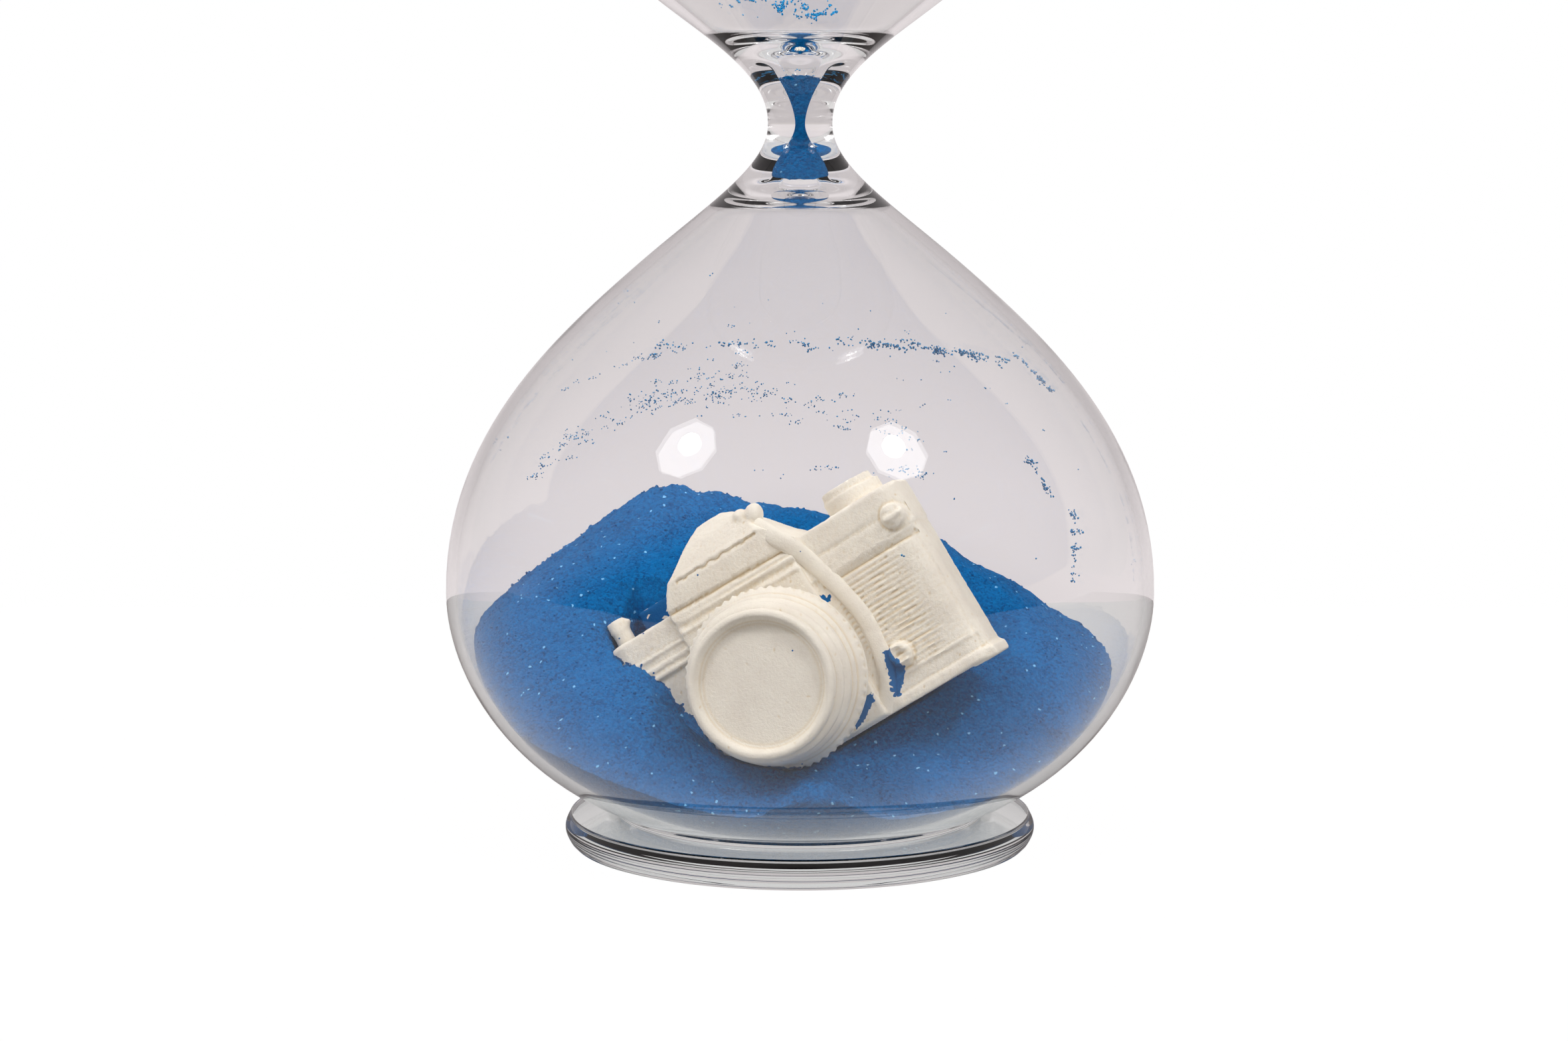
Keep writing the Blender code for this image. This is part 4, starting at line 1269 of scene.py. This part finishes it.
# %% Grains on the heap
chance = random.Random(41)
loose = []
for _ in range(4200):
    reach, turn = 0.116 * chance.random() ** 0.5, chance.uniform(0, math.tau)
    x, y = reach * math.cos(turn), reach * math.sin(turn)
    height = sand_surface(x, y)
    if math.hypot(x, y) < wall_radius(height) - MM and under_cast(x, y) is None:
        loose.append((Vector((x, y, height)), chance.uniform(0.5, 1.3) * MM))
keep("grains_on_heap", poured(loose, chance), blue_sand, GLASS_BODY, crease=80)

# %% [markdown]
# ## Floor, surroundings, lamps and camera
#
# The hourglass stands on a plain pale floor in a studio. The eye sees floor and
# backdrop as plain white, while the glass gathers them as a soft, slightly warm grey.
# In front, past the edge of the floor, the room is dark, which is why the sand looks
# deeper where the glass mirrors that part of the room.

# %% Floor
def box_of(low, high):
    cage = bmesh.new()
    block(cage, low, high)
    return cage


def staged(name, cage, finish):
    mesh = mesh_of(name, cage)
    mesh.materials.append(finish)
    made = placed(name, mesh)
    return made


# how bright the floor glows by itself, and when it is seen mirrored in something
LIT, LIT_IN_MIRRORS = 0.36, 0.10
# how much of the plain white takes over for the eye, and through glass
WHITE_TO_THE_EYE, WHITE_THROUGH_GLASS = 0.93, 0.55
floor_finish, tree = new_finish("pale_studio_floor")
path = add_node(tree, "ShaderNodeLightPath")
board = add_node(tree, "ShaderNodeBsdfDiffuse", {"Color": linear("8F8A88")})
dimmed = counted(tree, "MULTIPLY", (path, "Is Glossy Ray"), LIT - LIT_IN_MIRRORS)
shine = counted(tree, "SUBTRACT", LIT, (dimmed, "Value"))
lit = add_node(tree, "ShaderNodeEmission", {"Color": linear("FFF8F8")},
               {"Strength": (shine, "Value")})
both = add_node(tree, "ShaderNodeAddShader", None,
                {"Shader": (board, "BSDF"), "Shader_001": (lit, "Emission")})
plain = add_node(tree, "ShaderNodeEmission", {"Color": linear("FFFFFF"), "Strength": 1.04})
seen = counted(tree, "MULTIPLY", (path, "Is Camera Ray"), WHITE_TO_THE_EYE)
bent = counted(tree, "MULTIPLY", (path, "Is Transmission Ray"), WHITE_THROUGH_GLASS)
share = counted(tree, "ADD", (seen, "Value"), (bent, "Value"))
mix = add_node(tree, "ShaderNodeMixShader", None,
               {"Fac": (share, "Value"), "Shader": (both, "Shader"),
                "Shader_001": (plain, "Emission")})
ends_in(tree, mix)
FLOOR_EDGE = -1.05
staged("floor", box_of((-2.2, FLOOR_EDGE, -0.02), (2.2, 0.55, -0.0002)), floor_finish)
print("floor ends", -FLOOR_EDGE, "m in front")

# %% Surroundings
DARK_ROOM = 0.09  # how bright the room is in front, where no wall is lit
world = bpy.data.worlds.new("studio")
world.use_nodes = True
bpy.context.scene.world = world
tree = world.node_tree
tree.nodes.clear()
coords = add_node(tree, "ShaderNodeTexCoord")
ways = add_node(tree, "ShaderNodeSeparateXYZ", None, {"Vector": (coords, "Generated")})
aside = add_node(tree, "ShaderNodeMath", {"operation": "ABSOLUTE"}, {"Value": (ways, "X")})
beside = counted(tree, "MULTIPLY", (aside, "Value"), 0.35)
above = counted(tree, "MULTIPLY", (ways, "Z"), 1.5)
far = counted(tree, "ADD", (beside, "Value"), (ways, "Y"))
lean = counted(tree, "ADD", (above, "Value"), (far, "Value"))
behind = ranged(tree, lean, "Value", (0.02, 0.45), (0.0, 1.0))
tall = ranged(tree, ways, "Z", (-0.10, 0.07), (0.71, 0.50))
bright = counted(tree, "MULTIPLY", (behind, "Result"), (tall, "Result"))
dim = counted(tree, "ADD", (bright, "Value"), DARK_ROOM)
backdrop = add_node(tree, "ShaderNodeBackground", {"Color": linear("FFF7F8")},
                    {"Strength": (dim, "Value")})
white = add_node(tree, "ShaderNodeBackground", {"Color": linear("FFFFFF"), "Strength": 1.0})
path = add_node(tree, "ShaderNodeLightPath")
mix = add_node(tree, "ShaderNodeMixShader", None,
               {"Fac": (path, "Is Camera Ray"), "Shader": (backdrop, "Background"),
                "Shader_001": (white, "Background")})
add_node(tree, "ShaderNodeOutputWorld", None, {"Surface": (mix, "Shader")})
print("surroundings ready")


# %% Lamps
LAMP_DISTANCE = 1.6
LAMP_TARGET = Vector((0, 0, 0.12))
LAMP_SIZE, LAMP_WATTS, LAMP_RISE = 0.17, 4.6, 0.05
CLOTH_RADIUS = 0.25
lamp_glow, tree = new_finish("softbox_cloth")
glow = add_node(tree, "ShaderNodeEmission", {"Color": linear("FFFFFF"), "Strength": 4.0})
add_node(tree, "ShaderNodeOutputMaterial", None, {"Surface": (glow, "Emission")})


def softbox(name, turn, rise):
    """An eight-sided softbox with a hot middle; turn and rise are in degrees."""
    turn, rise = math.radians(turn), math.radians(rise)
    way = Vector((math.sin(turn) * math.cos(rise), -math.cos(turn) * math.cos(rise),
                  math.sin(rise)))
    facing = way.to_track_quat("Z", "Y")
    data = bpy.data.lights.new(name, "AREA")
    data.shape, data.size, data.energy = "DISK", LAMP_SIZE, LAMP_WATTS
    lamp = placed(name, data)
    over = facing @ Vector((0, LAMP_RISE, 0))
    lamp.location = LAMP_TARGET + way * (LAMP_DISTANCE - 0.01) + over
    lamp.rotation_mode = "QUATERNION"
    lamp.rotation_quaternion = facing
    cage = bmesh.new()
    bmesh.ops.create_circle(cage, cap_ends=True, segments=8, radius=CLOTH_RADIUS)
    bmesh.ops.rotate(cage, cent=(0, 0, 0), verts=cage.verts,
                     matrix=Matrix.Rotation(math.pi / 8, 3, "Z"))
    place = (Matrix.Translation(LAMP_TARGET + way * LAMP_DISTANCE)
             @ facing.to_matrix().to_4x4())
    bmesh.ops.transform(cage, matrix=place, verts=cage.verts)
    staged(name + "_cloth", cage, lamp_glow)


softbox("left_softbox", -53, 49)
softbox("right_softbox", 45, 50)
print("two softboxes", LAMP_DISTANCE, "m away")

# %% Camera
EYE_DISTANCE, EYE_DIPS, EYE_TURNS = 1.127, math.radians(7.06), math.radians(0.286)
camera = bpy.data.cameras.new("camera")
camera.lens = 73.6
camera.sensor_width = 36.0
viewer = placed("camera", camera)
viewer.location = (0.0, -EYE_DISTANCE, NECK_HEIGHT)
viewer.rotation_euler = (math.pi / 2 - EYE_DIPS, 0.0, EYE_TURNS)
bpy.context.scene.camera = viewer
bpy.context.scene.view_settings.view_transform = "Standard"
print("camera", EYE_DISTANCE, "m in front, at the height of the neck")
